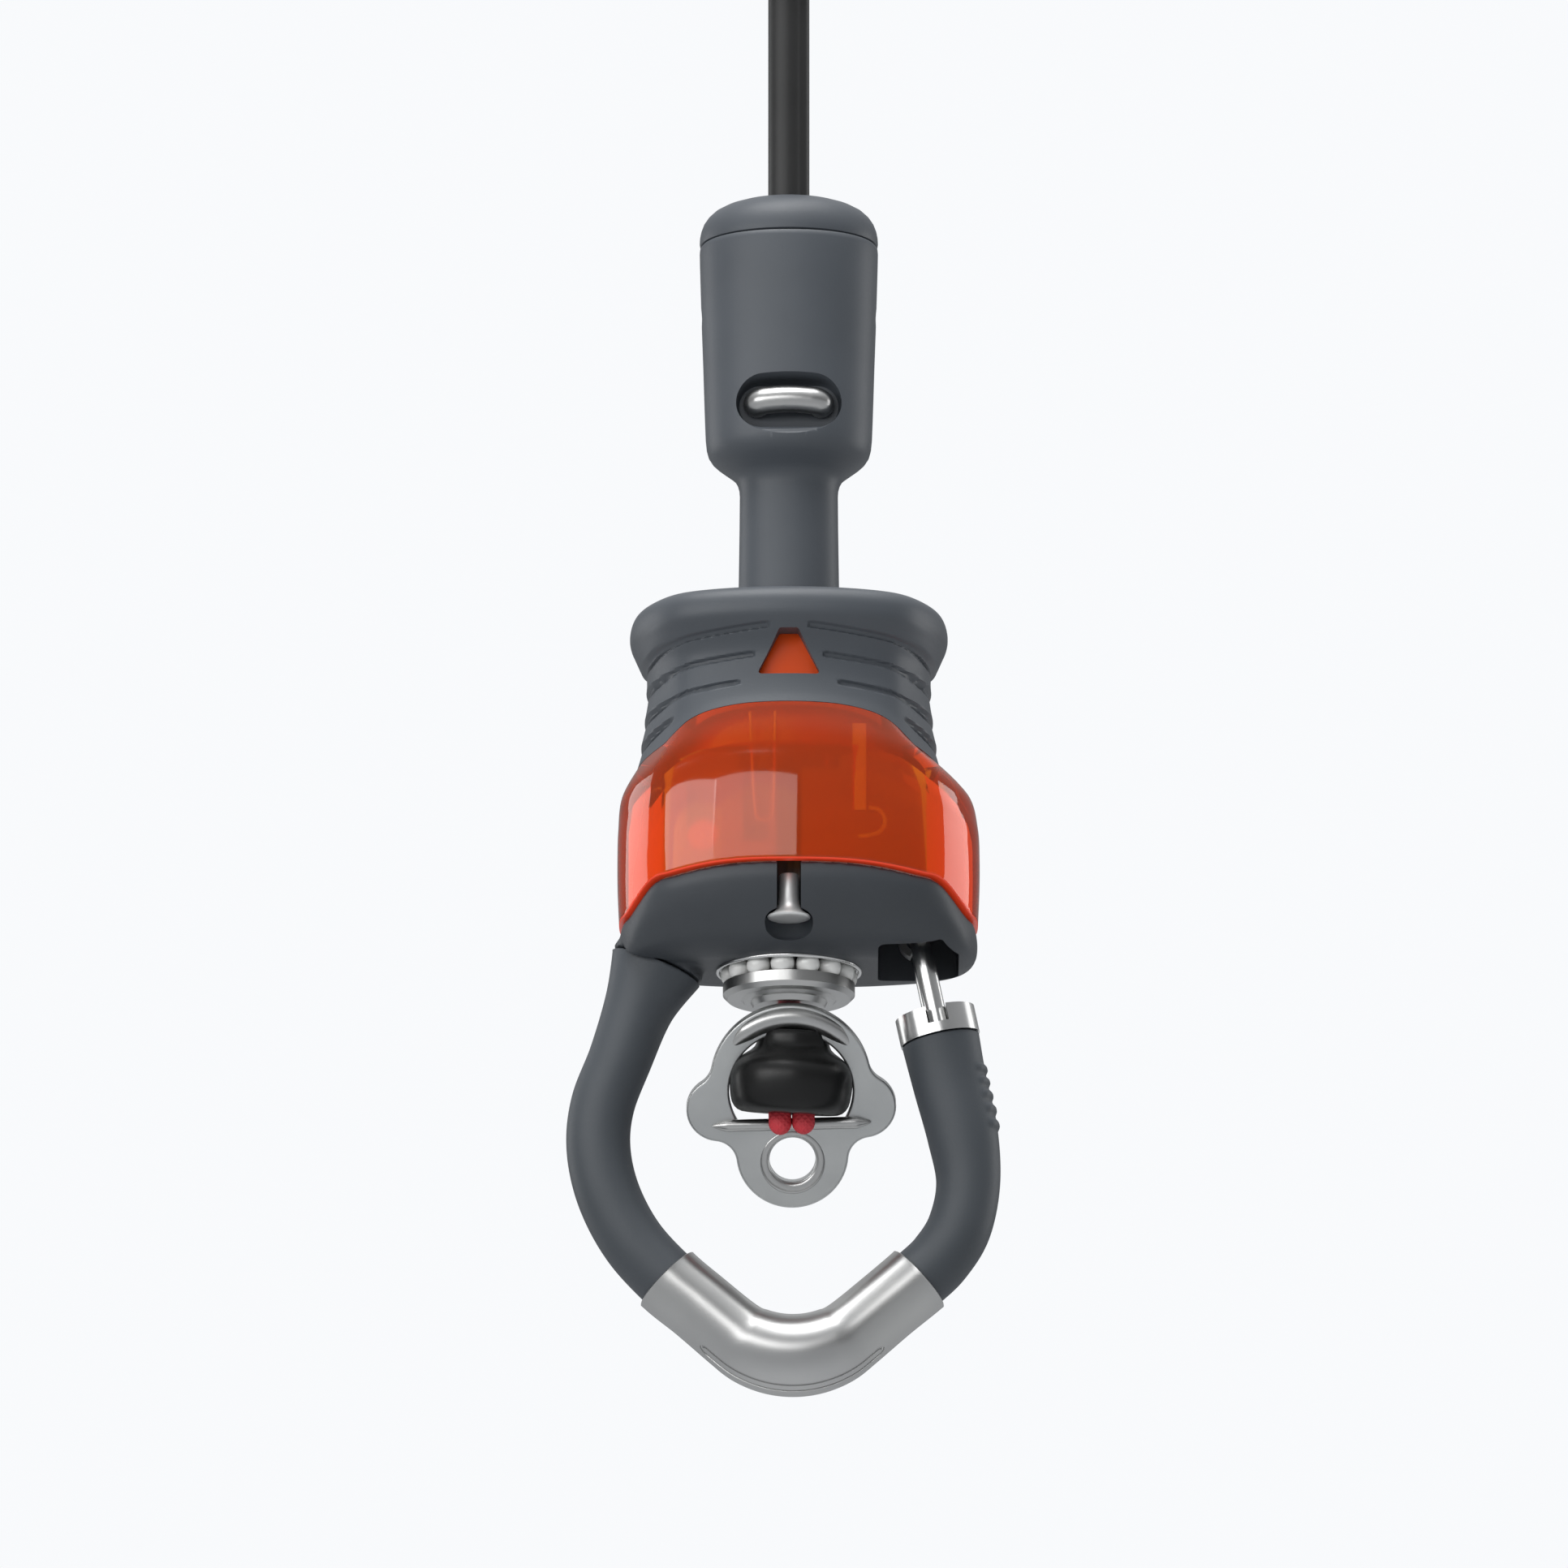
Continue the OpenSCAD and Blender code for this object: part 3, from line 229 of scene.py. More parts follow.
def clear_plastic():
    """See-through orange: a milky body that light passes, with a glossy skin."""
    mat = material("orange_clear", (0.92, 0.10, 0.003), (0.98, 0.12, 0.004), 0.3, grain=500, bump=0.02,
                   patch=25, spread=0.012)
    nt = mat.node_tree
    body = principled(mat)
    body.inputs["Specular IOR Level"].default_value = 0.0
    glow = nt.nodes.new("ShaderNodeBsdfTranslucent")
    glow.inputs["Color"].default_value = (1.0, 0.14, 0.01, 1)
    tint = nt.nodes.new("ShaderNodeBsdfTransparent")
    tint.inputs["Color"].default_value = (0.98, 0.62, 0.12, 1)
    milk = mixed(nt, mixed(nt, body, glow, 0.5), tint, 0.6)
    gloss = nt.nodes.new("ShaderNodeBsdfGlossy")
    gloss.inputs["Roughness"].default_value = 0.035
    gloss.inputs["Color"].default_value = (1.0, 0.93, 0.9, 1)
    skin = nt.nodes.new("ShaderNodeFresnel")
    skin.inputs["IOR"].default_value = 1.5
    whole = mixed(nt, milk, gloss)
    link(nt, skin, "Fac", whole, "Fac")
    link(nt, whole, "Shader", nt.nodes["Material Output"], "Surface")
    return mat


def cord_material(name, low, high, pitch):
    """Cord with a braid of two crossing waves in its relief."""
    mat = material(name, low, high, 0.62, grain=2500, bump=0.3, patch=300)
    nt = mat.node_tree
    coord = nt.nodes.new("ShaderNodeTexCoord")
    top = nt.nodes.new("ShaderNodeMath")
    top.operation = "MAXIMUM"
    for inlet, lay in enumerate((45, -45)):
        place = nt.nodes.new("ShaderNodeMapping")
        place.inputs["Rotation"].default_value = (0, lay * RAD, 0)
        link(nt, coord, "Object", place, "Vector")
        wave = nt.nodes.new("ShaderNodeTexWave")
        wave.inputs["Scale"].default_value = pitch
        link(nt, place, "Vector", wave, "Vector")
        link(nt, wave, "Fac", top, inlet)
    lump = nt.nodes.new("ShaderNodeBump")
    lump.inputs["Strength"].default_value = 0.5
    lump.inputs["Distance"].default_value = 0.0002
    link(nt, top, "Value", lump, "Height")
    link(nt, lump, "Normal", principled(mat), "Normal")
    return mat


slate = material("slate_plastic", (0.057, 0.065, 0.076), (0.065, 0.074, 0.086), 0.48, grain=2600, bump=0.25)
# painted shade: a darker copy of the slate for the block's belly, which sits low under the casing
slate_shaded = material("slate_block_shaded", (0.034, 0.039, 0.046), (0.039, 0.045, 0.053), 0.5, grain=2600, bump=0.25)
rubber = material("slate_rubber", (0.048, 0.056, 0.065), (0.056, 0.064, 0.074), 0.54, grain=1800, bump=0.35)
tube_mat = material("tube_black", (0.013, 0.013, 0.013), (0.018, 0.018, 0.018), 0.42, grain=1500, bump=0.2)
# painted light: a pale grey for the block's tower, which stands in for light that reaches it through the
# casing
tower_lit_mat = material("tower_grey_lit", (0.50, 0.50, 0.48), (0.56, 0.56, 0.54), 0.5, grain=1800, bump=0.2)
steel = material("satin_steel", (0.44, 0.44, 0.44), (0.50, 0.50, 0.49), 0.31, 1.0, grain=2600, bump=0.03,
                 depth=0.00002, patch=40)
blasted = material("blasted_steel", (0.49, 0.50, 0.50), (0.56, 0.57, 0.565), 0.42, 1.0, grain=3200,
                   bump=0.12, depth=0.00003, patch=70)
polished = material("polished_steel", (0.60, 0.60, 0.60), (0.66, 0.66, 0.65), 0.24, 1.0, grain=1500,
                    bump=0.015, depth=0.00002, patch=30)
# painted light: a paler, less metallic copy of the steel, so the stud's stem shows bright all across as under
# a wide front light
stud_lit_mat = material("stud_steel_lit", (0.74, 0.74, 0.73), (0.80, 0.80, 0.79), 0.42, 0.75, grain=1800, bump=0.04,
                    depth=0.00002)
white_ball = material("white_ball", (0.72, 0.72, 0.70), (0.8, 0.8, 0.78), 0.18, grain=700, bump=0.03)
black_ball = material("stopper_black", (0.005, 0.005, 0.005), (0.008, 0.008, 0.008), 0.34, grain=1600,
                      bump=0.12)
principled(black_ball).inputs["Specular IOR Level"].default_value = 0.32
red_cord = cord_material("red_cord", (0.56, 0.03, 0.045), (0.66, 0.045, 0.06), 350)
clear = clear_plastic()
inner_orange = material("inner_orange", (0.55, 0.07, 0.004), (0.62, 0.085, 0.006), 0.4, grain=900, bump=0.08)
rib_mat = material("rib_orange", (0.95, 0.42, 0.22), (1.0, 0.5, 0.28), 0.4, grain=900, bump=0.05)
skirt_mat = material("orange_skirt", (0.68, 0.065, 0.003), (0.74, 0.075, 0.004), 0.22, grain=700, bump=0.03)
# painted glow: the casing's lower edge is a deeper red with a weak emission, for light carried to its edge
edge_glow_mat = material("orange_edge_glow", (0.80, 0.05, 0.014), (0.86, 0.06, 0.018), 0.3, grain=700, bump=0.03)
# painted sheen: the casing's inner side walls are a pinker orange with an emission, as painted pink
# reflection and glow
side_sheen_mat = material("orange_side_sheen", (0.85, 0.13, 0.07), (0.9, 0.15, 0.085), 0.4, grain=700, bump=0.03)
add_glow(edge_glow_mat, (0.9, 0.06, 0.012), 0.1)
add_glow(side_sheen_mat, (1.0, 0.2, 0.14), 0.26)
floor_mat = material("pale_floor", (0.80, 0.81, 0.82), (0.83, 0.84, 0.85), 0.7, grain=40, bump=0.02, patch=3)

# Finish of the frame's solids that stay in view; those not named are satin steel
finish_of = {"end_fitting": polished, "outer_race": polished, "fork_collar": polished, "bail": polished,
             "release_wedge": inner_orange, "bearing_balls": white_ball}
for name, ob in frame["nodes"].items():
    coat = finish_of.get(name, steel)
    if not ob.material_slots:
        ob.data.materials.append(coat)
    for held in ob.material_slots:
        held.material = coat


# Mesh tools
def put(name, verts, faces, mat=None, sharp=None):
    """Smooth object from points in millimetres; edges steeper than `sharp` degrees stay hard."""
    me = bpy.data.meshes.new(name)
    me.from_pydata(world(verts).tolist(), [], [list(map(int, f)) for f in faces])
    me.validate()
    me.update()
    me.polygons.foreach_set("use_smooth", [True] * len(me.polygons))
    if sharp:
        me.set_sharp_from_angle(angle=sharp * RAD)
    if mat:
        me.materials.append(mat)
    ob = bpy.data.objects.new(name, me)
    scene.collection.objects.link(ob)
    return ob


def loft(rings, wrap=False):
    """Skin over rings of equally many points, with closed ends or wrapped from the last to the first."""
    n = len(rings[0])
    m = len(rings)
    verts = np.concatenate([np.asarray(r, dtype=float) for r in rings])
    faces = []
    for j in range(m if wrap else m - 1):
        above = ((j + 1) % m) * n
        for i in range(n):
            k = (i + 1) % n
            faces.append((j * n + i, j * n + k, above + k, above + i))
    if not wrap:
        faces.append(tuple(range(n - 1, -1, -1)))
        faces.append(tuple((m - 1) * n + i for i in range(n)))
    return verts, faces


def sweep(path, radius, n=32):
    """Round bar along points; radius is one number or one per point."""
    p = np.asarray(path, dtype=float)
    r = np.broadcast_to(radius, (len(p),))
    t = np.gradient(p, axis=0)
    t /= np.linalg.norm(t, axis=1)[:, None]
    up = np.array([0, 0, 1.0]) if abs(t[0][2]) < 0.9 else np.array([0, 1.0, 0])
    x = np.cross(up, t[0])
    a = turns(n)
    rings = []
    for i in range(len(p)):
        x = x - t[i] * np.dot(x, t[i])
        x /= np.linalg.norm(x)
        y = np.cross(t[i], x)
        rings.append(p[i] + r[i] * (np.outer(np.cos(a), x) + np.outer(np.sin(a), y)))
    return loft(rings)


def lathe(profile, n=96):
    """Rings of a turned form from rows of radius and height."""
    a = turns(n)
    return [np.stack([r * np.cos(a), r * np.sin(a), np.full(n, float(z))], 1) for r, z in profile]


def merge(parts):
    """One mesh from several of loft's."""
    verts, faces = [], []
    for v, f in parts:
        base = len(verts)
        verts.extend(np.asarray(v).tolist())
        faces.extend(tuple(i + base for i in face) for face in f)
    return verts, faces


def bake(ob):
    """Turns an object's modifiers into its mesh."""
    deps = bpy.context.evaluated_depsgraph_get()
    me = bpy.data.meshes.new_from_object(ob.evaluated_get(deps))
    old = ob.data
    ob.modifiers.clear()
    ob.data = me
    bpy.data.meshes.remove(old)


def cut(ob, mesh, how="DIFFERENCE"):
    """Takes a closed mesh of loft's out of an object, or joins it."""
    tool = put("tool", *mesh)
    mod = ob.modifiers.new("cut", "BOOLEAN")
    mod.operation = how
    mod.solver = "EXACT"
    mod.object = tool
    bake(ob)
    me = tool.data
    bpy.data.objects.remove(tool)
    bpy.data.meshes.remove(me)


def soften(ob, angle):
    """Smooth shading with hard edges over an angle in degrees."""
    me = ob.data
    me.polygons.foreach_set("use_smooth", [True] * len(me.polygons))
    me.set_sharp_from_angle(angle=angle * RAD)


def ease(t):
    t = np.clip(t, 0, 1)
    return t * t * (3 - 2 * t)


def spline(a, b, c, d, t):
    """Smooth curve from b to c, with a before and d after them."""
    return 0.5 * (2 * b + (c - a) * t + (2 * a - 5 * b + 4 * c - d) * t * t
                  + (3 * b - a - 3 * c + d) * t ** 3)


def blend_rows(keys, steps):
    """Rows on a smooth curve through key rows."""
    keys = [np.asarray(k) for k in keys]
    last = len(keys) - 1
    out = []
    for i in range(last):
        near = (keys[max(i - 1, 0)], keys[i], keys[i + 1], keys[min(i + 2, last)])
        out += [spline(*near, j / steps) for j in range(steps)]
    return out + [keys[-1]]


def at(pts, z):
    """Plan points lifted to a height, one for all or one each."""
    return np.stack([pts[:, 0], pts[:, 1], np.broadcast_to(z, (len(pts),)).astype(float)], 1)


def oval(hw, hd, z, n=160, p=2.0):
    """Level ring from half width and half depth; a power p over 2 makes it squarer."""
    a = turns(n)
    c, s = np.cos(a), np.sin(a)
    r = (np.abs(c) ** p + np.abs(s) ** p) ** (-1 / p)
    return np.stack([hw * r * c, hd * r * s, np.full(n, float(z))], 1)


def rounded(corners, r, steps=6):
    """Outline of straight sides with corners rounded by about r."""
    out = []
    m = len(corners)
    for i in range(m):
        p, a, b = (np.array(corners[j % m], float) for j in (i, i - 1, i + 1))
        u, w = (a - p) / np.linalg.norm(a - p), (b - p) / np.linalg.norm(b - p)
        back = r / math.tan(math.acos(np.dot(u, w)) / 2)
        s, e = p + u * back, p + w * back
        for t in np.arange(steps + 1) / steps:
            out.append(tuple((1 - t) ** 2 * s + 2 * t * (1 - t) * p + t * t * e))
    return out


def arc(c, r, a0, a1, n):
    return [(c[0] + r * math.cos(a), c[1] + r * math.sin(a)) for a in np.linspace(a0, a1, n)]


# Plan shared by casing, grip and block: bowed front and back, slanted corners and flat sides.
# FRONT is the bow's reach as a share of the half width. BOW is the bow's depth and SIDE the reach of the
# flat sides, both as shares of the half depth.
FRONT, BOW, SIDE = 0.78, 0.21, 0.32
CORNER = 1 - BOW
PLAN_STEPS = 288


def plan(hl, hr, hd, p=30, facet=1.0):
    """Outline from left and right half width and half depth. A higher p makes its corners crisper, and
    facet 0 leaves the slanted corners out."""
    a = turns(PLAN_STEPS)
    c, s = np.abs(np.cos(a)), np.abs(np.sin(a))
    hw = np.where(np.cos(a) < 0, hl, hr)
    f, b = FRONT * hw, BOW * hd
    y = hd - b
    bow_r = (f * f + b * b) / (2 * b)
    off = bow_r - hd
    front = np.sqrt(bow_r * bow_r - off * off * c * c) - off * s
    det = f * SIDE * hd - y * hw
    u, v = (SIDE * hd - y) / det, (f - hw) / det
    r = ((c / hw) ** p + (1 / front) ** p + facet * (c * u + s * v) ** p) ** (-1 / p)
    return np.stack([r * np.cos(a), r * np.sin(a)], 1)


# Casing's size, and heights of its lower edge at the sides, the corners and the middle
CASE_L, CASE_R, CASE_D, WALL = 33.8, 37.6, 28.0, 2.2
LOW_SIDE, LOW_CORNER, LOW_MID = 8.6, 14.0, 15.8
# Seam of casing and grip: shares of the half depth, heights there, and steps that the seam is averaged over
SEAM_K = (SIDE, 0.7, CORNER, 0.868, 0.937, 1)
SEAM_Z = (39.6, 41.3, 42.9, 45.8, 47.3, 48.1)
SEAM_SOFT = (-0.03, -0.015, 0, 0.015, 0.03)


def low_edge(q, hd):
    k = np.abs(q[:, 1]) / hd
    corner = LOW_SIDE + (LOW_CORNER - LOW_SIDE) * ease((k - SIDE) / (CORNER - SIDE))
    return corner + (LOW_MID - LOW_CORNER) * ease((k - CORNER) / BOW)


def seam_edge(q, hd):
    k = np.abs(q[:, 1]) / hd
    return sum(np.interp(k + d, SEAM_K, SEAM_Z) for d in SEAM_SOFT) / len(SEAM_SOFT)


# Line: black tube with the outline of a wide and a narrow bore side by side
WIDE_X, WIDE_R, NARROW_X, NARROW_R = -0.55, 3.55, 2.0, 2.08
TUBE_STEPS = 16
cap_top = PLANE + 157.0
tube_top = -10.2


def twin(z, n=48):
    a = turns(n)
    c, s = np.cos(a), np.sin(a)

    def reach(x, r):
        d = r * r - x * x * s * s
        return np.where(d > 0, x * c + np.sqrt(np.maximum(d, 0)), 0)

    r = np.maximum(reach(WIDE_X, WIDE_R), reach(NARROW_X, NARROW_R))
    return np.stack([r * c, r * s, np.full(n, z)], 1)


route = [(0, 0, (cap_top + (tube_top - cap_top) * i / TUBE_STEPS) * MM) for i in range(TUBE_STEPS + 1)]
line = put("line_tube", *loft([twin(p[2] / MM - PLANE) for p in route]), tube_mat, 28)
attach(line, "frame")
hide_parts("depower_tube")

# Cap: rows of size, as a share of the head's top, and height above the cap's foot
HEAD_W, HEAD_D, CAP_FOOT = 17.7, 15.5, 147.5
cap_rows = [(0.972, 0.12), (0.992, 0.3), (0.998, 0.9), (0.995, 2.0), (0.982, 3.2), (0.955, 4.5), (0.91, 5.7),
            (0.845, 6.8), (0.75, 7.75), (0.63, 8.5), (0.5, 9.0), (0.38, 9.3), (0.27, 9.48)]
cap = put("cap", *loft([oval(HEAD_W * k, HEAD_D * k, CAP_FOOT + h) for k, h in cap_rows]), slate, 50)
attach(cap, "frame")
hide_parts("top_cap")

# Head and neck: rows of half width and height
NECK_W, NECK_LESS_DEEP, HEAD_LESS_DEEP, HEAD_POWER = 9.7, 1.0, 1.1, 2.15
head_rows = [(10.15, 36.1), (10.1, 60), (9.95, 76), (9.75, 90), (9.7, 96.6), (9.78, 97.8), (10.1, 99.0),
             (10.7, 100.1), (11.6, 100.9), (13.0, 101.95), (14.3, 102.95), (15.2, 103.8), (15.9, 104.9),
             (16.25, 106.2), (16.45, 108.2), (16.6, 112), (16.75, 116.5), (16.95, 123), (17.2, 130),
             (17.45, 138), (17.62, 144), (17.66, 146.3), (17.6, 147.0), (17.3, 147.38)]


def head_ring(hw, z):
    swell = max((hw - NECK_W) / (HEAD_W - NECK_W), 0)
    return oval(hw, hw - NECK_LESS_DEEP - HEAD_LESS_DEEP * swell, z, p=HEAD_POWER)


head = put("head", *loft([head_ring(*r) for r in head_rows]), slate, 50)


def stadium(w, h, y, z, n=64):
    """Upright ring with round ends, from width, height, depth and middle height."""
    a = turns(n)
    x = np.cos(a) * h / 2 + np.sign(np.cos(a)) * (w - h) / 2
    return np.stack([x, np.full(n, y), z + np.sin(a) * h / 2], 1)


# Front slot with a flared mouth: rows of width, height, place in depth and shift of the middle
SLOT_Z = 112.7
mouth = [(19.6, 8.6, -8.6, 0), (20.6, 9.6, -9.4, 0), (20.8, 9.8, -11.6, 0), (21.2, 10.3, -12.8, -0.05),
         (22.0, 11.3, -13.8, -0.3), (23.0, 13.2, -14.7, -1.0), (24.4, 16.0, -15.6, -2.0),
         (26.5, 20, -16.8, -3.5)]
cut(head, loft([stadium(w, h, y, SLOT_Z + dz) for w, h, y, dz in mouth]))

# Bowl-shaped notch in each side, which the anchor pin ends in
NOTCH_X, NOTCH_DEEP, NOTCH_R, NOTCH_Z = 17.9, 1.9, 2.3, 133.5


def notch_ring(side, b):
    """Ring of the bowl, b degrees from its mouth to its bottom."""
    x = side * (NOTCH_X - NOTCH_DEEP * math.sin(b * RAD))
    r = NOTCH_R * math.cos(b * RAD)
    return [(x, r * math.cos(a), NOTCH_Z + r * math.sin(a)) for a in turns(24)][::-side]


for side in (-1, 1):
    cut(head, loft([notch_ring(side, b) for b in (-20, 0, 30, 60, 85)]))
soften(head, 38)
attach(head, "frame")
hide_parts("head_housing")

# Staple bar across the slot: its legs go back into the head
BAR_R, BAR_BEND, BAR_FLAT, BAR_LEG_Y, BAR_BEND_Y = 2.7, 2.4, 3.9, -8.75, -8.8
BAR_OUT, BAR_UP, BAR_ARCH, BAR_BOW = 0.9, 0.7, 0.5, 0.25
bar_end = BAR_FLAT + BAR_BEND
leg = [(-bar_end, BAR_LEG_Y)]
for b in range(0, 91, 10):
    leg.append((-BAR_FLAT - BAR_BEND * math.cos(b * RAD), BAR_BEND_Y - BAR_BEND * math.sin(b * RAD)))
bow = [(x, leg[-1][1] - BAR_BOW * (1 - (x / BAR_FLAT) ** 2)) for x in (-2.6, -1.3, 0, 1.3, 2.6)]
staple = [(x, y - BAR_OUT, SLOT_Z + BAR_UP - BAR_ARCH * (x / bar_end) ** 2)
          for x, y in leg + bow + [(-x, y) for x, y in leg[::-1]]]
bar = put("slot_bar", *sweep(staple, BAR_R), steel, 50)
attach(bar, "frame")
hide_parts("line_bar")

# Grip: from its seam with the casing over a waist to the flange
WAIST_W, WAIST_D, WAIST_TOP = 27.8, 25.0, 58.0
FLANGE_W, FLANGE_D = 31.5, 29.0
EDGE_W, EDGE_D = 30.0, 26.4
WAIST_CRISP, FLANGE_CRISP = 24, 18
GRIP_TOP, GRIP_WALL, SEAM_GAP = 71.5, 3, 0.1


def grip_row(hw, hd, t):
    """Row of the waist, a share t of the way from the seam to the flange's foot."""
    q = plan(hw, hw, hd)
    return at(q, (seam_edge(q, hd) + SEAM_GAP) * (1 - t) + WAIST_TOP * t)


def flange_row(k, z):
    """Row of the flange, a share k of the way out from the waist."""
    hw, hd = WAIST_W + (FLANGE_W - WAIST_W) * k, WAIST_D + (FLANGE_D - WAIST_D) * k
    return at(plan(hw, hw, hd, WAIST_CRISP + (FLANGE_CRISP - WAIST_CRISP) * max(k, 0)), z)


waist_keys = [(EDGE_W, EDGE_D, 0), (WAIST_W + 1.2, WAIST_D + 0.8, 0.2), (WAIST_W + 0.5, WAIST_D + 0.3, 0.45),
              (WAIST_W, WAIST_D, 0.7)]
flange_keys = [(0.0, WAIST_TOP), (0.2, 60.6), (0.6, 63.2), (0.93, 65.4), (1.0, 67.4), (0.93, 69.2),
               (0.7, 70.6), (0.3, 71.4), (-0.4, GRIP_TOP)]

# Grooves: height at the front, at the corner and at the side, and distance of the inner end from the middle
GROOVES = [(63.4, 61.6, 60.2, 4.4), (58.1, 56.5, 54.9, 7.4), (52.4, 50.9, 49.0, 10.4),
           (48.6, 46.6, 43.6, 23.4)]
GROOVE_DEEP, GROOVE_FLAT, GROOVE_FLANK = 0.62, 0.3, 0.4
SIDE_DEEPER, SIDE_WIDER, SIDE_FROM, SIDE_OVER, SIDE_DROP = 0.3, 0.5, 22.0, 5.0, 0.45
CORNER_X, RIB_PROUD, RIB_PITCH = 22.6, 0.55, 4.5


def groove_height(x, k, front, corner, side, start):
    """Height of a groove, falling to the corner and on along the side."""
    to_corner = np.clip((x - start) / (CORNER_X - start), 0, 1)
    to_side = np.clip((CORNER - k) / SIDE_DROP, 0, 1)
    return np.where(k > CORNER, front + (corner - front) * to_corner, corner + (side - corner) * to_side)


def grooved(ring):
    """Row of the grip with its grooves cut and, at the sides, with ribs that stand proud over each one."""
    x, y, z = np.abs(ring[:, 0]), np.abs(ring[:, 1]), ring[:, 2]
    side = ease((x - SIDE_FROM) / SIDE_OVER)
    lines = [groove_height(x, y / y.max(), *g) for g in GROOVES]
    deep = np.zeros(len(ring))
    proud = np.zeros(len(ring))
    for i, groove in enumerate(lines):
        away = np.hypot(z - groove, np.maximum(GROOVES[i][3] - x, 0))
        flank = ease((away - GROOVE_FLAT) / (GROOVE_FLANK + SIDE_WIDER * side))
        deep = np.maximum(deep, (GROOVE_DEEP + SIDE_DEEPER * side) * (1 - flank))
        above = lines[i - 1] if i else groove + RIB_PITCH
        share = (above - z) / np.maximum(above - groove, 0.1)
        proud = np.where((share > 0) & (share <= 1), RIB_PROUD * share * side, proud)
    out = ring.copy()
    out[:, :2] *= (1 - (deep - proud) / np.hypot(x, y))[:, None]
    return out


keys = [grip_row(*k) for k in waist_keys] + [flange_row(*k) for k in flange_keys]
outer = [grooved(ring) for ring in blend_rows(keys, 14)]
# Inside of the grip: neck hole, recess over the spring's collar, roof and wall
ROOF, RECESS_R, RECESS_TOP, HOLE_FOOT = 63.55, 14.4, 64.0, 64.1
neck_hole = oval(10.4, 9.4, 0, PLAN_STEPS)
inner = [at(neck_hole, GRIP_TOP), at(neck_hole, HOLE_FOOT), oval(RECESS_R, RECESS_R, RECESS_TOP, PLAN_STEPS),
         oval(RECESS_R, RECESS_R, ROOF, PLAN_STEPS),
         at(plan(WAIST_W - GRIP_WALL, WAIST_W - GRIP_WALL, WAIST_D - GRIP_WALL), ROOF),
         grip_row(EDGE_W - GRIP_WALL, EDGE_D - GRIP_WALL, 0)]
grip = put("grip_body", *loft(outer + inner, True), slate, 35)

# Small window in the grip's front
WINDOW_LOW_W, WINDOW_LOW, WINDOW_TOP_W, WINDOW_TOP, WINDOW_R = 6.3, 54.0, 1.85, 62.8, 0.7
window = rounded([(-WINDOW_LOW_W, WINDOW_LOW), (WINDOW_LOW_W, WINDOW_LOW), (WINDOW_TOP_W, WINDOW_TOP),
                  (-WINDOW_TOP_W, WINDOW_TOP)], WINDOW_R)
cut(grip, loft([[(x, y, z) for x, z in window] for y in (-20.8, -40)]))
soften(grip, 32)
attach(grip, "handle")
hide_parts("grip")


# Casing: outer wall, skirt inside the grip, deck round the neck, and inner wall
def shell_row(hl, hr, hd, t):
    """Row of the casing, a share t of the way from its lower edge to the seam."""
    q = plan(hl, hr, hd)
    return at(q, low_edge(q, hd) * (1 - t) + seam_edge(q, hd) * t)


def case_row(left, right, depth, t):
    """Row of the casing, by how far it lies inside the casing's widest plan."""
    return shell_row(CASE_L - left, CASE_R - right, CASE_D - depth, t)


SKIRT_IN = GRIP_WALL + 0.05
SKIRT_TOP, DECK_TOP, DECK_LOW = 63.5, 41, 39
top_w, top_d = WAIST_W - SKIRT_IN, WAIST_D - SKIRT_IN
skirt_outside = plan(top_w, top_w, top_d)
skirt_inside = plan(top_w - WALL, top_w - WALL, top_d - WALL)
bulge = [case_row(0.35, 0.35, 0.35, 0.012), case_row(0.05, 0.05, 0.05, 0.24), case_row(0, 0, 0, 0.45),
         case_row(0.15, 0.3, 0.12, 0.63), case_row(0.8, 1.9, 0.4, 0.82), shell_row(EDGE_W, EDGE_W, EDGE_D, 1)]
rows = [case_row(0.75, 0.75, 0.75, 0), case_row(0.5, 0.5, 0.5, 0.003)] + blend_rows(bulge, 8)
rows += [shell_row(EDGE_W - SKIRT_IN, EDGE_W - SKIRT_IN, EDGE_D - SKIRT_IN, 1), at(skirt_outside, SKIRT_TOP),
         at(skirt_inside, SKIRT_TOP), at(skirt_inside, DECK_TOP), at(neck_hole, DECK_TOP),
         at(neck_hole, DECK_LOW), at(skirt_inside, DECK_LOW)]
rows += [case_row(WALL + 0.7, WALL + 1.9, WALL + 0.3, 0.76), case_row(WALL, WALL, WALL, 0.6),
         case_row(WALL, WALL, WALL, 0)]
casing = put("casing_shell", *loft(rows, True), clear, 30)

# Lower edge and inner side walls carry a painted glow and a painted pink sheen; the skirt is a darker, opaque
# orange
EDGE_GLOW_SLOT, SIDE_SHEEN_SLOT, SKIRT_SLOT = 1, 2, 3
EDGE_BANDS, EDGE_FACING, EDGE_Z, EDGE_SPAN = 3, -0.45, 12.2, 4.8
INNER_BANDS, SIDE_WALL_X, SKIRT_Z = 4, 27.2, 51.5
for coat in (edge_glow_mat, side_sheen_mat, skirt_mat):
    casing.data.materials.append(coat)
for p in casing.data.polygons:
    band = p.index // PLAN_STEPS
    x, z = abs(p.center.x) / MM, p.center.z / MM - PLANE
    bevel = band < EDGE_BANDS and p.normal.z < EDGE_FACING and abs(z - EDGE_Z) < EDGE_SPAN
    if bevel or band == len(rows) - 1:
        p.material_index = EDGE_GLOW_SLOT
    elif z > SKIRT_Z:
        p.material_index = SKIRT_SLOT
    elif band >= len(rows) - INNER_BANDS and x > SIDE_WALL_X:
        p.material_index = SIDE_SHEEN_SLOT
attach(casing, "handle")
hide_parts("casing")

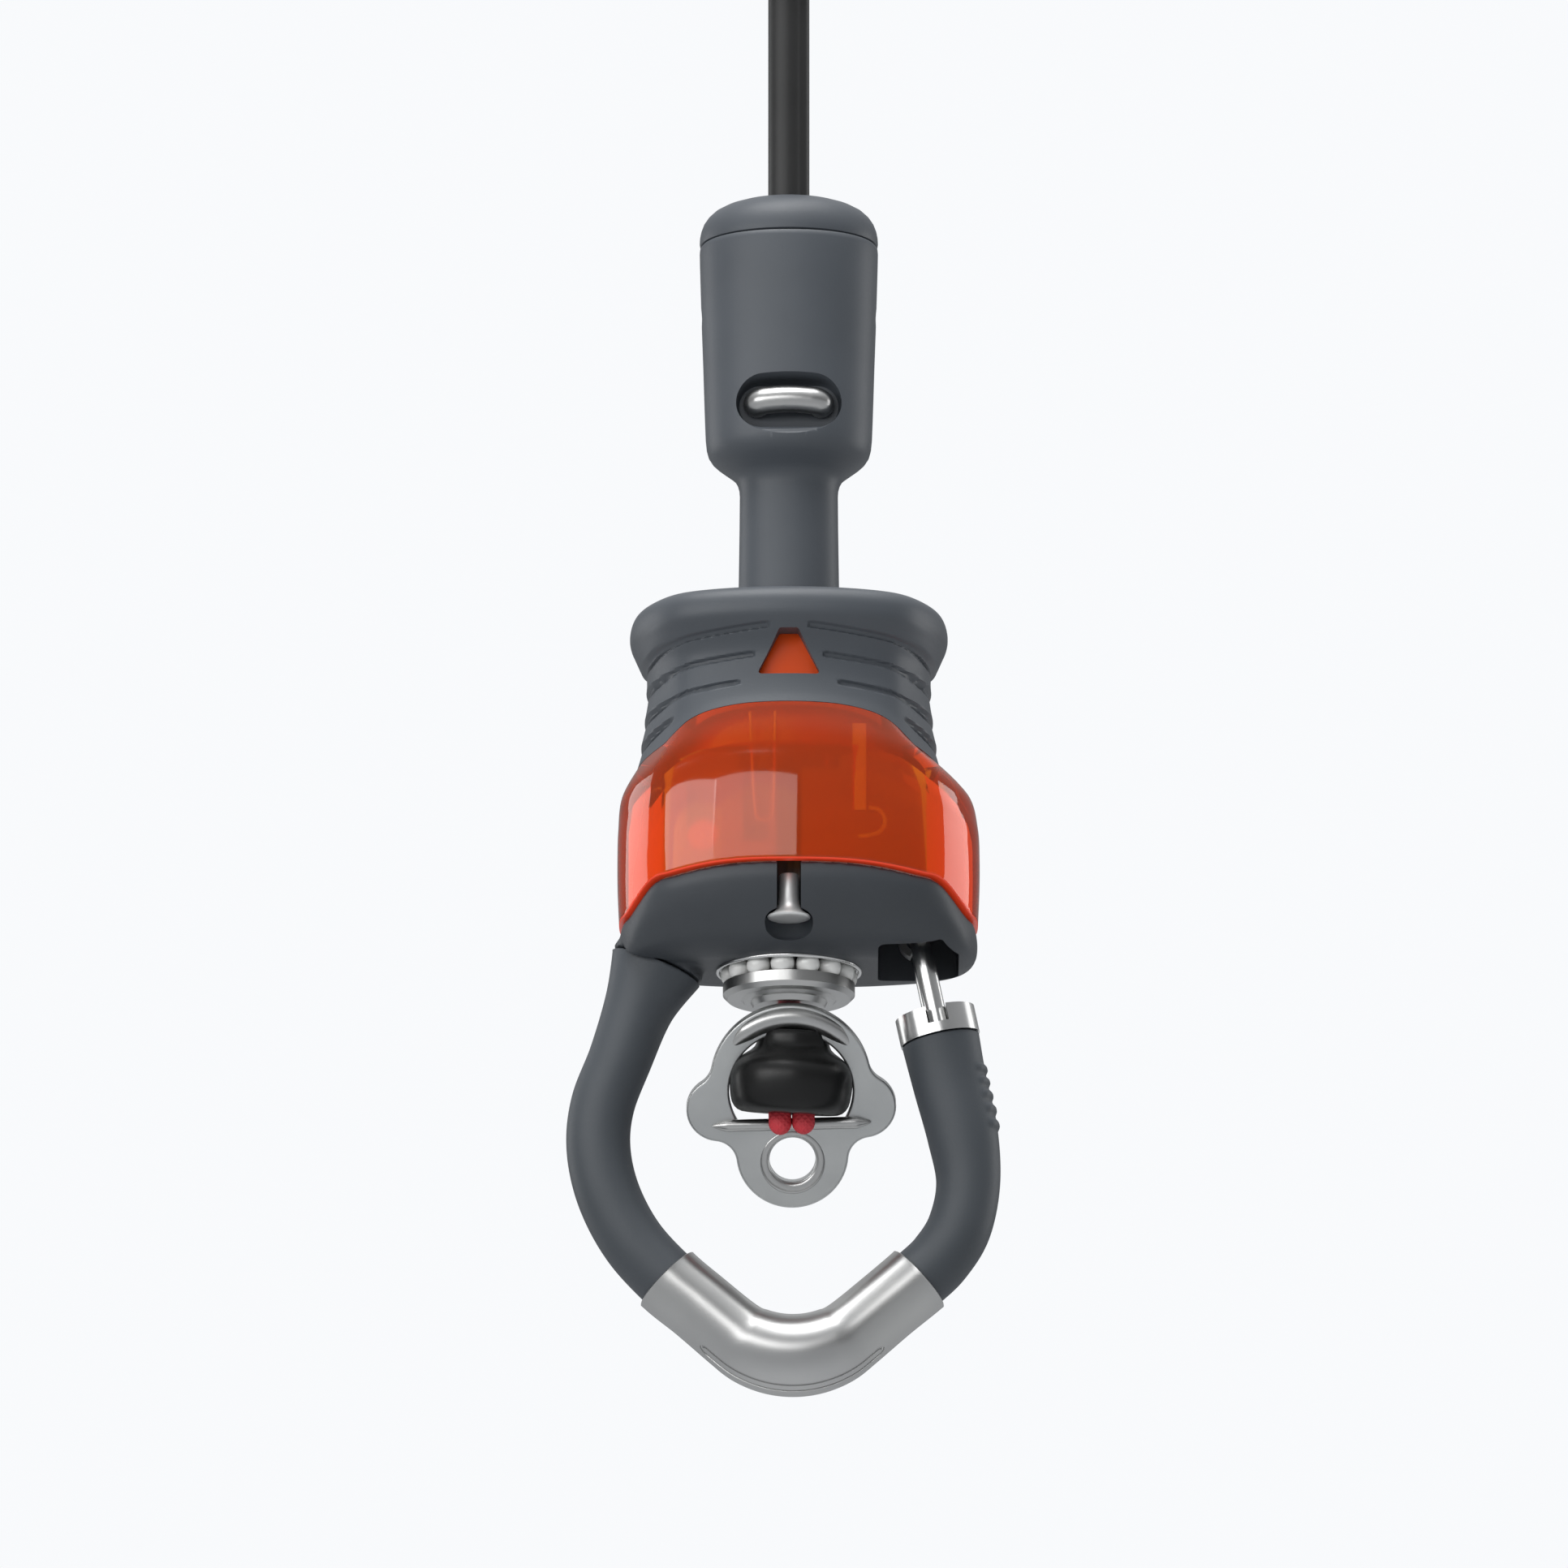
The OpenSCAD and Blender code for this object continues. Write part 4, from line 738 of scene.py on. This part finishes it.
# Coil spring inside the grip
SPRING_LOW, SPRING_TOP, SPRING_R, WIRE_R, TURNS = 41.15, 60.85, 13.0, 0.7, 5
climb = np.linspace(0, 1, 40 * TURNS + 1)
wound = climb * TURNS * 2 * math.pi
coil = np.stack([SPRING_R * np.cos(wound), SPRING_R * np.sin(wound),
                 SPRING_LOW + WIRE_R + (SPRING_TOP - SPRING_LOW - 2 * WIRE_R) * climb], 1)
spring = put("grip_spring", *sweep(coil, WIRE_R, 16), steel, 60)
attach(spring, "frame")
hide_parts("handle_spring")
tuple(world([(0, 0, SPRING_TOP)])[0])
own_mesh(spring)

# Ribs on the casing's inner face, seen through it: a U, a strip with a hook under it, and a disc
FACE_GAP, LEAN, LEAN_FROM, LEAN_OVER = 0.12, 1.5, 33.0, 15.0
U_R, HOOK_R = 0.32, 0.5
u_points = [(-7.6, 46.5), (-7.3, 38), (-6.9, 30), (-6.5, 25.6), (-5.9, 24.4), (-4.8, 24.1), (-3.7, 24.4),
            (-3.1, 25.6), (-2.9, 32), (-2.7, 46.5)]
hook_points = [(15.6, 27.0), (17.6, 26.7), (18.7, 25.3), (18.7, 23.6), (17.6, 22.1), (15.6, 21.4),
               (13.6, 21.1)]
STRIP_X, STRIP_HALF, STRIP_THICK, STRIP_TOP, STRIP_LOW = 13.8, 1.4, 0.32, 44.3, 26.4
DISC_X, DISC_Z = -16.8, 21.7
# radius, and distance behind the face
disc_rows = [(3.1, 0.3), (3.1, 0.05), (2.9, -0.05), (1.2, -0.05), (1.1, 0.1), (0.1, 0.1)]


def inner_face(x, z):
    """Depth of the casing's inner front face, which leans back towards its top."""
    inset = WALL + FACE_GAP
    q = plan(CASE_L - inset, CASE_R - inset, CASE_D - inset)
    q = q[q[:, 1] < 0]
    order = np.argsort(q[:, 0])
    return np.interp(x, q[order, 0], q[order, 1]) + LEAN * ease((z - LEAN_FROM) / LEAN_OVER)


def rib(points, r):
    return sweep(blend_rows([(x, inner_face(x, z), z) for x, z in points], 6), r, 14)


def strip_ring(z, a):
    wide = np.sign(np.cos(a)) * np.abs(np.cos(a)) ** 0.4
    return np.stack([STRIP_X + STRIP_HALF * wide, inner_face(STRIP_X, z) + STRIP_THICK * np.sin(a),
                     np.full(len(a), z)], 1)


def disc_ring(r, behind, a):
    x = DISC_X + r * np.cos(a)
    return np.stack([x, inner_face(x, DISC_Z) + behind, DISC_Z + r * np.sin(a)], 1)


strip = loft([strip_ring(z, turns(36)) for z in np.linspace(STRIP_TOP, STRIP_LOW, 14)])
disc = loft([disc_ring(*r, turns(36)) for r in disc_rows])
ribbing = put("casing_ribs", *merge([rib(u_points, U_R), rib(hook_points, HOOK_R), strip, disc]), rib_mat, 60)
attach(ribbing, "handle")

# Loop: centre lines as rows of x, z, half width and half depth.
# The left arm starts at the butt seam under the block, and the right one at the steel collar.
ARM_R = 6.3
BUTT, BUTT_LEAN, BUTT_W, BUTT_D = np.array([-26.0, 0.9]), 22.8 * RAD, 9.4, 7.8
COLLAR, COLLAR_LEAN = np.array([29.8, -14.0]), 11.9 * RAD
L_KNEE, R_KNEE = (-37.4, -36), (35.2, -43)
BUTT_DIR = np.array([-math.sin(BUTT_LEAN), -math.cos(BUTT_LEAN)])
COLLAR_DIR = np.array([math.sin(COLLAR_LEAN), -math.cos(COLLAR_LEAN)])
# The saddle has two straight legs with a round bend between them
SADDLE_Z, HALF, MID, LEG, BEND_R = -62.2, 24.8, 0.8, 40.5 * RAD, 18.0
SADDLE_END_R, SADDLE_LEG_R, SADDLE_MID_R, BEND_TAPER = 7.3, 7.2, 8.15, 0.8
BEND_X = BEND_R * math.sin(LEG)
BEND_Z = SADDLE_Z - (HALF - BEND_X) * math.tan(LEG) + BEND_R * math.cos(LEG)
LEG_MID = SADDLE_Z - (HALF - BEND_X) / 2 * math.tan(LEG)


def between(a, b, tx, tz):
    return [a[0] + (b[0] - a[0]) * tx, a[1] + (b[1] - a[1]) * tz]


def row(point, hw, hd=None):
    return [*point, hw, hw if hd is None else hd]


S_L, S_R = (MID - HALF, SADDLE_Z), (MID + HALF, SADDLE_Z)
S_FIRST, S_LAST = (MID - (HALF + BEND_X) / 2, LEG_MID), (MID + (HALF + BEND_X) / 2, LEG_MID)
L_LAST, R_LAST = between(L_KNEE, S_L, 0.5, 0.71), between(R_KNEE, S_R, 0.56, 0.78)
left_pts = np.array([
    row(BUTT, BUTT_W, BUTT_D), row(BUTT + 9 * BUTT_DIR, 7.0, 6.6),
    row(between(BUTT, L_KNEE, 0.62, 0.5), ARM_R), row(between(BUTT, L_KNEE, 0.93, 0.76), ARM_R),
    row(L_KNEE, ARM_R), row(between(L_KNEE, S_L, 0.15, 0.36), ARM_R), row(L_LAST, ARM_R), row(S_L, ARM_R),
    row(S_FIRST, ARM_R)])
right_pts = np.array([
    row(COLLAR, 7.7, 7.4), row(COLLAR + 9 * COLLAR_DIR, 7.3, 7.0),
    row(between(COLLAR, R_KNEE, 0.8, 0.66), 7.0, 6.7), row(R_KNEE, ARM_R),
    row(between(R_KNEE, S_R, 0.18, 0.46), ARM_R), row(R_LAST, ARM_R), row(S_R, ARM_R), row(S_LAST, ARM_R)])
bend = []
for k in (-1, -0.67, -0.33, 0, 0.33, 0.67, 1):
    spot = (MID + BEND_R * math.sin(k * LEG), BEND_Z - BEND_R * math.cos(k * LEG))
    bend.append(row(spot, SADDLE_MID_R - BEND_TAPER * k * k))
saddle_pts = np.array([
    row(L_LAST, SADDLE_END_R), row(S_L, SADDLE_END_R), row(S_FIRST, SADDLE_LEG_R), *bend,
    row(S_LAST, SADDLE_LEG_R), row(S_R, SADDLE_END_R), row(R_LAST, SADDLE_END_R)])


def along(p, t):
    """Point of a centre line, t rows along it."""
    last = len(p) - 1
    i = min(int(math.floor(t)), last - 1)
    return spline(*(p[min(max(k, 0), last)] for k in range(i - 1, i + 3)), t - i)


def heading(p, t, step=0.02):
    d = (along(p, min(t + step, len(p) - 1)) - along(p, max(t - step, 0)))[:2]
    return d / np.linalg.norm(d)


def arm_ring(p, t, hw=None, hd=None, relief=None, slide=0.0, n=72):
    """Ring across a centre line; slide moves it along the line, and relief(t, angles) adds to its size."""
    q, d, a = along(p, t), heading(p, t), turns(n)
    more = relief(t, a) if relief else 0.0
    rw = (q[2] if hw is None else hw) + more
    rd = (q[3] if hd is None else hd) + more
    return np.stack([q[0] + d[0] * slide + d[1] * rw * np.cos(a), rd * np.sin(a),
                     q[1] + d[1] * slide - d[0] * rw * np.cos(a)], 1)


def arm(p, t0, t1, steps, relief=None):
    return [arm_ring(p, t0 + (t1 - t0) * i / steps, relief=relief) for i in range(steps + 1)]


# Left arm: one rubber piece from the seam to the saddle
rings = [arm_ring(left_pts, 0.0, BUTT_W - 0.4, BUTT_D - 0.4, slide=0.2),
         arm_ring(left_pts, 0.0, BUTT_W - 0.1, BUTT_D - 0.1, slide=0.45)]
left = put("left_arm_rubber", *loft(rings + arm(left_pts, 0.09, 7.0, 90)), rubber, 50)
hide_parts("left_arm", "arm_flex_neck")
tuple(world([(-26.2, 0, 0.4)])[0])
tuple(world([(-30.6, 0, -11.5)])[0])
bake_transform(left)

# Right arm, with ribs for the thumb on its outer side
THUMB_TOP, THUMB_PITCH, THUMB_RIBS, THUMB_HIGH = -20.3, 2.75, 5, 0.5
THUMB_REACH, THUMB_FADE = 0.72, 0.14


def thumb(t, a):
    k = (THUMB_TOP - along(right_pts, t)[1]) / THUMB_PITCH
    crest = np.clip(0.5 - 0.62 * math.cos(2 * math.pi * k), 0, 1) if 0 < k < THUMB_RIBS else 0.0
    return THUMB_HIGH * crest * ease((np.cos(a - math.pi) - THUMB_REACH) / THUMB_FADE)


rings = [arm_ring(right_pts, 0.0, 7.35, 7.05, slide=0.05), arm_ring(right_pts, 0.0, 7.62, 7.32, slide=0.3)]
right = put("right_arm_rubber", *loft(rings + arm(right_pts, 0.07, 6.0, 190, thumb)), rubber, 50)
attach(right, "loop")
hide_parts("right_arm")

# Saddle: bent steel tube with rolled ends, given as rows of radius and slide
S_START, S_END = 1.0, len(saddle_pts) - 2.0
first_roll = [(6.36, 1.5), (6.36, 0.25), (6.6, 0.03), (7.05, 0.0), (7.32, 0.18)]
last_roll = [(7.32, -0.18), (7.05, 0.0), (6.5, -0.03), (6.36, -0.25), (6.36, -1.5)]
rings = [arm_ring(saddle_pts, S_START, r, r, slide=s) for r, s in first_roll]
rings += arm(saddle_pts, S_START + 0.06, S_END - 0.06, 120)
rings += [arm_ring(saddle_pts, S_END, r, r, slide=s) for r, s in last_roll]
saddle = put("saddle_tube", *loft(rings), steel, 50)

# Thin groove on the saddle's front: a long loop of rows along it and degrees from its lowest line
TRACK_FROM, TRACK_TO, TRACK_LOW, TRACK_HIGH = 2.75, 9.2, -31.5, -18.5
TRACK_R, TRACK_STRETCH = 0.34, 1.2
steps = np.linspace(TRACK_FROM, TRACK_TO, 40)
round_end = [(0.07, -28.5), (0.1, -25), (0.07, -21.5)]
track = [(t, TRACK_LOW) for t in steps] + [(TRACK_TO + s, a) for s, a in round_end]
track += [(t, TRACK_HIGH) for t in steps[::-1]] + [(TRACK_FROM - s, a) for s, a in round_end[::-1]]


def on_saddle(t, degrees, out=0.0):
    """Point on the saddle's skin, or a distance out from it."""
    q, d, a = along(saddle_pts, t), heading(saddle_pts, t), degrees * RAD
    r = q[2] + out
    return np.array([q[0] + d[1] * r * math.cos(a), r * math.sin(a), q[1] - d[0] * r * math.cos(a)])


groove = []
for i, spot in enumerate(track):
    here = on_saddle(*spot)
    out = on_saddle(*spot, 1.0) - here
    way = on_saddle(*track[(i + 1) % len(track)]) - on_saddle(*track[i - 1])
    across = np.cross(out, way / np.linalg.norm(way))
    groove.append([here + TRACK_R * (math.cos(b) * across + TRACK_STRETCH * math.sin(b) * out)
                   for b in turns(8)])
cut(saddle, loft(groove, True))
soften(saddle, 40)
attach(saddle, "loop")
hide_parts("saddle")

# Block: belly under the casing, ledge, and tower inside the casing. Belly rows are height as a share of the
# rim's, size as a share of the casing's, half depth, crispness of the corners and share of the slanted ones.
RIM_GAP = 0.4
LEDGE_IN = WALL + RIM_GAP
TAPER_Z, TOWER_TOP, TOWER_W, TOWER_D = 27.0, 36.0, 24.2, 21.8
belly = [(0.0, 0.80, 10.5, 5, 0), (0.003, 0.86, 13.5, 5, 0), (0.07, 0.94, 17.3, 5, 0),
         (0.22, 0.985, 21.2, 6, 0.05), (0.5, 0.995, 24.8, 12, 0.5), (0.8, 0.985, 26.8, 24, 1),
         (0.97, 0.972, 26.9, 28, 1), (1.0, 0.966, 26.8, 28, 1)]
rim = plan(CASE_L, CASE_R, CASE_D)
rim_z = low_edge(rim, CASE_D) - RIM_GAP
ledge = plan(CASE_L - LEDGE_IN, CASE_R - LEDGE_IN, CASE_D - LEDGE_IN)
keys = [at(plan(CASE_L * k, CASE_R * k, hd, p, facet), rim_z * t) for t, k, hd, p, facet in belly]
rings = blend_rows(keys, 5)
rings += [at(ledge, rim_z), at(ledge, TAPER_Z), at(plan(TOWER_W, TOWER_W, TOWER_D), TOWER_TOP)]
block = put("block_body", *loft(rings), slate)

# Stub that the left arm butts against, with room for the arm's end below it
BUTT_GAP, ARM_ROOM, ARM_ROOM_LONG = 0.2, 0.8, 14
back = BUTT - BUTT_GAP * BUTT_DIR
stub = np.array([row(back - 10 * BUTT_DIR, 4.0, BUTT_D), row(back - 5 * BUTT_DIR, 7.4, BUTT_D),
                 row(back - 2 * BUTT_DIR, 8.9, BUTT_D), row(back, BUTT_W, BUTT_D)])
arm_room = np.array([row(spot, BUTT_W + ARM_ROOM, BUTT_D + ARM_ROOM)
                     for spot in (back, back + ARM_ROOM_LONG * BUTT_DIR)])
cut(block, loft([arm_ring(arm_room, t) for t in (0.0, 1.0)]))
cut(block, loft([arm_ring(stub, t) for t in np.linspace(0, 3, 13)]), "UNION")

# An even mesh, smoothed a little, gives the belly its soft edges
VOXEL = 0.00045
even = block.modifiers.new("even", "REMESH")
even.mode = "VOXEL"
even.voxel_size = VOXEL
even.use_smooth_shade = True
fair = block.modifiers.new("fair", "SMOOTH")
fair.factor = 0.5
fair.iterations = 6
bake(block)


def poly_cut(corners, z0, z1, r):
    """Upright prism with rounded corners."""
    outline = rounded(corners, r)
    return loft([[(x, y, z) for x, y in outline] for z in (z0, z1)])


def box_cut(lo, hi, r):
    (x0, y0, z0), (x1, y1, z1) = lo, hi
    return poly_cut([(x0, y0), (x1, y0), (x1, y1), (x0, y1)], z0, z1, r)


def round_cut(y, rows, n=48):
    """Turned form from rows of radius and height, on an axis y from the middle."""
    return loft([r + np.array([0, y, 0]) for r in lathe(rows, n)])


OPEN = 40
STUD_Y, KEY_HALF, KEY_FOOT = -21.5, 2.35, 4.6
CATCH_HALF, CATCH_X, CATCH_FOOT, SHELF_X, SHELF_Z = 2.05, 18.9, 12.0, 13.5, 29.5
TOWER_WINDOWS, TOWER_WINDOW_W, TOWER_WINDOW_FOOT = (-20, -9), 5, 20.1
keyhole_bowl = [(0.4, 1.0), (2.4, 1.2), (3.8, 1.9), (4.5, 3.0), (4.8, 4.4), (4.75, 5.4), (4.3, 6.1),
                (3.3, 6.9), (2.5, 7.9), (2.3, 8.6)]
rooms = [
    # seat of the outer race, and room for washer and nut over it
    round_cut(0, [(14.35, -2), (14.35, 0.05), (14.15, 0.25), (14.15, 5)]),
    round_cut(0, [(10.4, 4), (10.4, 10.4)]),
    # pocket that the bail rises into
    poly_cut([(17.5, -16.5), (30, -15), (33.4, -9), (33.4, 8), (17.5, 8)], -3, 13, 1.6),
    # keyhole of the stud: slot, bowl and stem
    box_cut((-KEY_HALF, -32, KEY_FOOT), (KEY_HALF, -19.5, OPEN), 0.3),
    round_cut(STUD_Y, keyhole_bowl),
    round_cut(STUD_Y, [(2.2, 4), (2.2, 19.8)]),
    # slots of catch and wedge
    box_cut((CATCH_X, -CATCH_HALF, CATCH_FOOT), (36, CATCH_HALF, OPEN), 0.05),
    box_cut((SHELF_X, -CATCH_HALF, SHELF_Z), (36, CATCH_HALF, OPEN), 0.05)]
# windows of the tower, which show through the casing
rooms += [box_cut((x, -32, TOWER_WINDOW_FOOT), (x + TOWER_WINDOW_W, -16, OPEN), 0.6) for x in TOWER_WINDOWS]
for room in rooms:
    cut(block, room)
soften(block, 40)

# The tower above the ledge is painted a paler grey than the belly, as painted light that comes through the
# casing; the keyhole's slot keeps the belly's darker slate as painted shade
TOWER_LIT_SLOT, TOWER_FROM, KEY_SHADE_HALF, KEY_SHADE_Y = 1, 0.25, 2.6, -19
block.data.materials.clear()
block.data.materials.append(slate_shaded)
block.data.materials.append(tower_lit_mat)
rim_turn = np.arctan2(rim[:, 1] / CASE_D, rim[:, 0] / np.where(rim[:, 0] < 0, CASE_L, CASE_R))
order = np.argsort(rim_turn)
for p in block.data.polygons:
    x, y, z = p.center / MM
    turn = math.atan2(y / CASE_D, x / (CASE_L if x < 0 else CASE_R))
    ledge_z = np.interp(turn, rim_turn[order], rim_z[order], period=2 * math.pi)
    in_keyhole = abs(x) < KEY_SHADE_HALF and y < KEY_SHADE_Y
    if z - PLANE > ledge_z + TOWER_FROM and not in_keyhole:
        p.material_index = TOWER_LIT_SLOT
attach(block, "frame")
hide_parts("lower_block")

# Stud in the keyhole: rows of radius and height
stud_rows = [(0.3, 5.0), (2.6, 5.02), (3.7, 5.12), (4.15, 5.3), (4.25, 5.55), (4.05, 5.8), (3.5, 6.1),
             (2.9, 6.6), (2.4, 7.3), (2.1, 8.2), (1.98, 9.4), (1.95, 11), (1.95, 13.8), (1.8, 14.05),
             (0.3, 14.05)]
stud = put("stud", *round_cut(STUD_Y, stud_rows, 64), stud_lit_mat, 50)
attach(stud, "frame")
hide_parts("guide_stud")

# Rolled lip of the outer race
LIP_R, LIP_WIDE, LIP_HIGH, LIP_Z = 14.0, 0.42, 0.5, -0.15


def lip_ring(a):
    b = turns(12)
    r = LIP_R + LIP_WIDE * np.cos(b)
    return np.stack([r * math.cos(a), r * math.sin(a), LIP_Z + LIP_HIGH * np.sin(b)], 1)


lip = put("race_lip", *loft([lip_ring(a) for a in turns(90)], True), polished, 60)
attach(lip, "frame")


# Leash unit: the plate leans back with its arch in front of the line, and the ball sits in its window.
# The plate is drawn flat, with its arch's top at the origin, and then hung.
def leaned(place, roll, back):
    lean = Matrix.Rotation(roll * RAD, 4, "Y") @ Matrix.Rotation(back * RAD, 4, "X")
    return Matrix.Translation(place) @ lean


HANG = leaned((0, -5.8, -8.55), -1.5, 30)
BALL = leaned((0.9, 0, -13.5), 3, 12)
ARCH_R, LOBE, LOBE_R, TIP_DROP, TIP_R, INNER_R = 15.4, (14.2, -20.6), 6.0, 30.0, 10.6, 5.0
WINDOW_DROP, WINDOW_ARC, PIN_DROP, HOLE_DROP, HOLE_R = 17.2, 12.6, 23.7, 31.2, 5.0
PLATE_THICK, PLATE_BEVEL = 2.6, 0.45


def hung(points, where=HANG):
    m = np.array(where)
    p = np.asarray(points, float).reshape(-1, 3)
    return p @ m[:3, :3].T + m[:3, 3]


def fillet(c1, r1, c2, r2, r):
    """Arc of radius r that touches two circles from outside, on the left of the way from one to the other:
    its middle, and its angles at the two circles."""
    c1, c2 = np.array(c1, float), np.array(c2, float)
    d = np.linalg.norm(c2 - c1)
    u = (c2 - c1) / d
    a = ((r1 + r) ** 2 - (r2 + r) ** 2 + d * d) / (2 * d)
    p = c1 + u * a + np.array([-u[1], u[0]]) * math.sqrt((r1 + r) ** 2 - a * a)
    return p, math.atan2(c1[1] - p[1], c1[0] - p[0]), math.atan2(c2[1] - p[1], c2[0] - p[0])


def plate_outline():
    """Right half from the arch's top to the tip, then mirrored: arch, lobe and tip joined by inner arcs."""
    top, tip = (0, -ARCH_R), (0, -TIP_DROP)
    p, a0, a1 = fillet(top, ARCH_R, LOBE, LOBE_R, INNER_R)
    q, b0, b1 = fillet(LOBE, LOBE_R, tip, TIP_R, INNER_R)
    pts = arc(top, ARCH_R, math.pi / 2, a0 + math.pi, 24) + arc(p, INNER_R, a0, a1, 10)[1:-1]
    pts += arc(LOBE, LOBE_R, a1 + math.pi, b0 - math.pi, 20) + arc(q, INNER_R, b0, b1, 12)[1:-1]
    pts += arc(tip, TIP_R, b1 - math.pi, -math.pi / 2, 18)
    return pts + [(-x, z) for x, z in pts[-2:0:-1]]


def plate_mesh(loops):
    """Hung plate with bevelled edges from its outline and its holes."""
    curve = bpy.data.curves.new("plate", "CURVE")
    curve.dimensions = "2D"
    curve.fill_mode = "BOTH"
    curve.extrude = PLATE_THICK / 2 - PLATE_BEVEL
    curve.bevel_depth = PLATE_BEVEL
    curve.bevel_resolution = 3
    for pts in loops:
        run = curve.splines.new("POLY")
        run.points.add(len(pts) - 1)
        for point, (x, z) in zip(run.points, pts):
            point.co = (x, z, 0, 1)
        run.use_cyclic_u = True
    flat = bpy.data.objects.new("plate_flat", curve)
    scene.collection.objects.link(flat)
    me = bpy.data.meshes.new_from_object(flat.evaluated_get(bpy.context.evaluated_depsgraph_get()))
    bpy.data.objects.remove(flat)
    verts = hung([(q.co.x, q.co.z, q.co.y) for q in me.vertices])
    faces = [tuple(p.vertices)[::-1] for p in me.polygons]
    bpy.data.meshes.remove(me)
    return verts, faces


sill = math.asin((PIN_DROP - WINDOW_DROP) / WINDOW_ARC)
opening = arc((0, -WINDOW_DROP), WINDOW_ARC, -sill, math.pi + sill, 57)
hole = arc((0, -HOLE_DROP), HOLE_R, 0, 2 * math.pi, 61)[:-1]
plate = put("plate", *plate_mesh([plate_outline(), opening[::-1], hole[::-1]]), blasted, 32)
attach(plate, "leash_unit")
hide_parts("leash_plate")

# Rolled bead over the arch: it gets thinner and spreads towards its ends, which sink into the plate
BEAD_FROM, BEAD_TO, BEAD_STEPS = 156, 20, 60
BEAD_ARC, BEAD_WIDEN, BEAD_R, BEAD_THIN, BEAD_Y, BEAD_SINK = 13.2, 0.75, 2.3, 0.95, -0.35, 0.4
turn = np.linspace(BEAD_FROM, BEAD_TO, BEAD_STEPS)
down = (1 - np.sin(turn * RAD)) / 0.6
fade = np.clip(np.minimum(np.linspace(0, 5, BEAD_STEPS), np.linspace(5, 0, BEAD_STEPS)), 0, 1)
reach = BEAD_ARC + BEAD_WIDEN * down
bead = np.stack([reach * np.cos(turn * RAD), BEAD_Y + BEAD_SINK * (1 - fade),
                 -ARCH_R + reach * np.sin(turn * RAD)], 1)
bead_r = (BEAD_R - BEAD_THIN * down) * fade ** 0.5 + 0.05
arch = put("arch_bead", *sweep(hung(bead), bead_r, 28), steel, 60)
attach(arch, "leash_unit")

# Flared rim of the leash hole, wider towards the bottom
RIM_R, RIM_MORE, RIM_OUT, RIM_Y, RIM_FLAT = 0.62, 0.5, 0.75, -1.15, 0.55


def rim_ring(a):
    b = turns(18)
    w = RIM_R + RIM_MORE * (0.5 - 0.5 * math.sin(a)) ** 1.5
    r = HOLE_R + w * (RIM_OUT + np.cos(b))
    y = RIM_Y - RIM_FLAT * w * np.sin(b)
    return hung(np.stack([r * math.cos(a), y, -HOLE_DROP + r * math.sin(a)], 1))


hole_lip = put("hole_lip", *loft([rim_ring(a) for a in turns(60)], True), steel, 60)
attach(hole_lip, "leash_unit")

# Cross pin with its ends pressed into the plate
PIN_R, PIN_Y, PIN_HALF, PIN_TIP = 1.2, -1.66, 12.6, 15.7
xs = np.concatenate([np.linspace(-15.6, -12.9, 8), np.linspace(-12.5, 12.5, 26), np.linspace(12.9, 15.6, 8)])
tip_r = 0.06 + 1.1 * np.clip((PIN_TIP - np.abs(xs)) / 2.8, 0, 1) ** 0.8
pin_path = hung([(x, PIN_Y, -PIN_DROP) for x in xs])
pin = put("cross_pin_bar", *sweep(pin_path, np.where(np.abs(xs) > PIN_HALF, tip_r, PIN_R), 24), steel, 60)
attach(pin, "leash_unit")
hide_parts("cross_pin")

# Stopper ball with its neck: rows of radius and height, from the bottom up
ball_rows = [(0.4, -15), (5, -15), (8.6, -15), (9.5, -14.9), (10.35, -14.55), (11.0, -13.95), (11.5, -13.1),
             (11.8, -12.0), (12.0, -10.6), (12.1, -9.2), (12.08, -7.9), (11.9, -6.8), (11.55, -5.8),
             (11.0, -4.9), (10.2, -4.1), (9.2, -3.4), (8.3, -2.8), (7.6, -2.15), (7.25, -1.5), (7.0, -0.6),
             (6.9, 0.2), (6.8, 1.0), (6.5, 1.35), (6.0, 1.5), (0.4, 1.5)]
stopper = put("stopper", *loft([hung(r, BALL) for r in lathe(ball_rows)]), black_ball, 50)
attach(stopper, "leash_unit")
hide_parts("stopper_ball")

# Red line: straight up through the part, and two short bends round the pin that taper off at their ends
CORD_R, CORD_LOW, CORD_TOP = 2.2, -17.9, 93
LOOP_R, LOOP_X, LOOP_BEND, LOOP_STEPS = 2.25, 2.3, 3.5, 26
bent = np.linspace(212, 284, LOOP_STEPS) * RAD
to_end = np.clip(np.linspace(2.2, 0.02, LOOP_STEPS), 0, 1)
loop_r = LOOP_R * np.sqrt(1 - (1 - to_end) ** 2)
cords = [sweep([(0, 0, z) for z in np.linspace(CORD_LOW, CORD_TOP, 60)], CORD_R, 24)]
for side in (-1, 1):
    path = np.stack([np.full(LOOP_STEPS, side * LOOP_X), PIN_Y + LOOP_BEND * np.sin(bent),
                     -PIN_DROP - LOOP_BEND * np.cos(bent)], 1)
    cords.append(sweep(hung(path), loop_r, 24))
rope = put("red_line", *merge(cords), red_cord, 60)
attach(rope, "leash_unit")
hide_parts("safety_line")

# Floor, in metres
FLOOR_HALF, FLOOR_Z = 60, -1.8
me = bpy.data.meshes.new("floor")
sides = [(-1, -1), (1, -1), (1, 1), (-1, 1)]
me.from_pydata([(x * FLOOR_HALF, y * FLOOR_HALF, FLOOR_Z) for x, y in sides], [], [(0, 1, 2, 3)])
me.materials.append(floor_mat)
floor = bpy.data.objects.new("floor", me)
scene.collection.objects.link(floor)
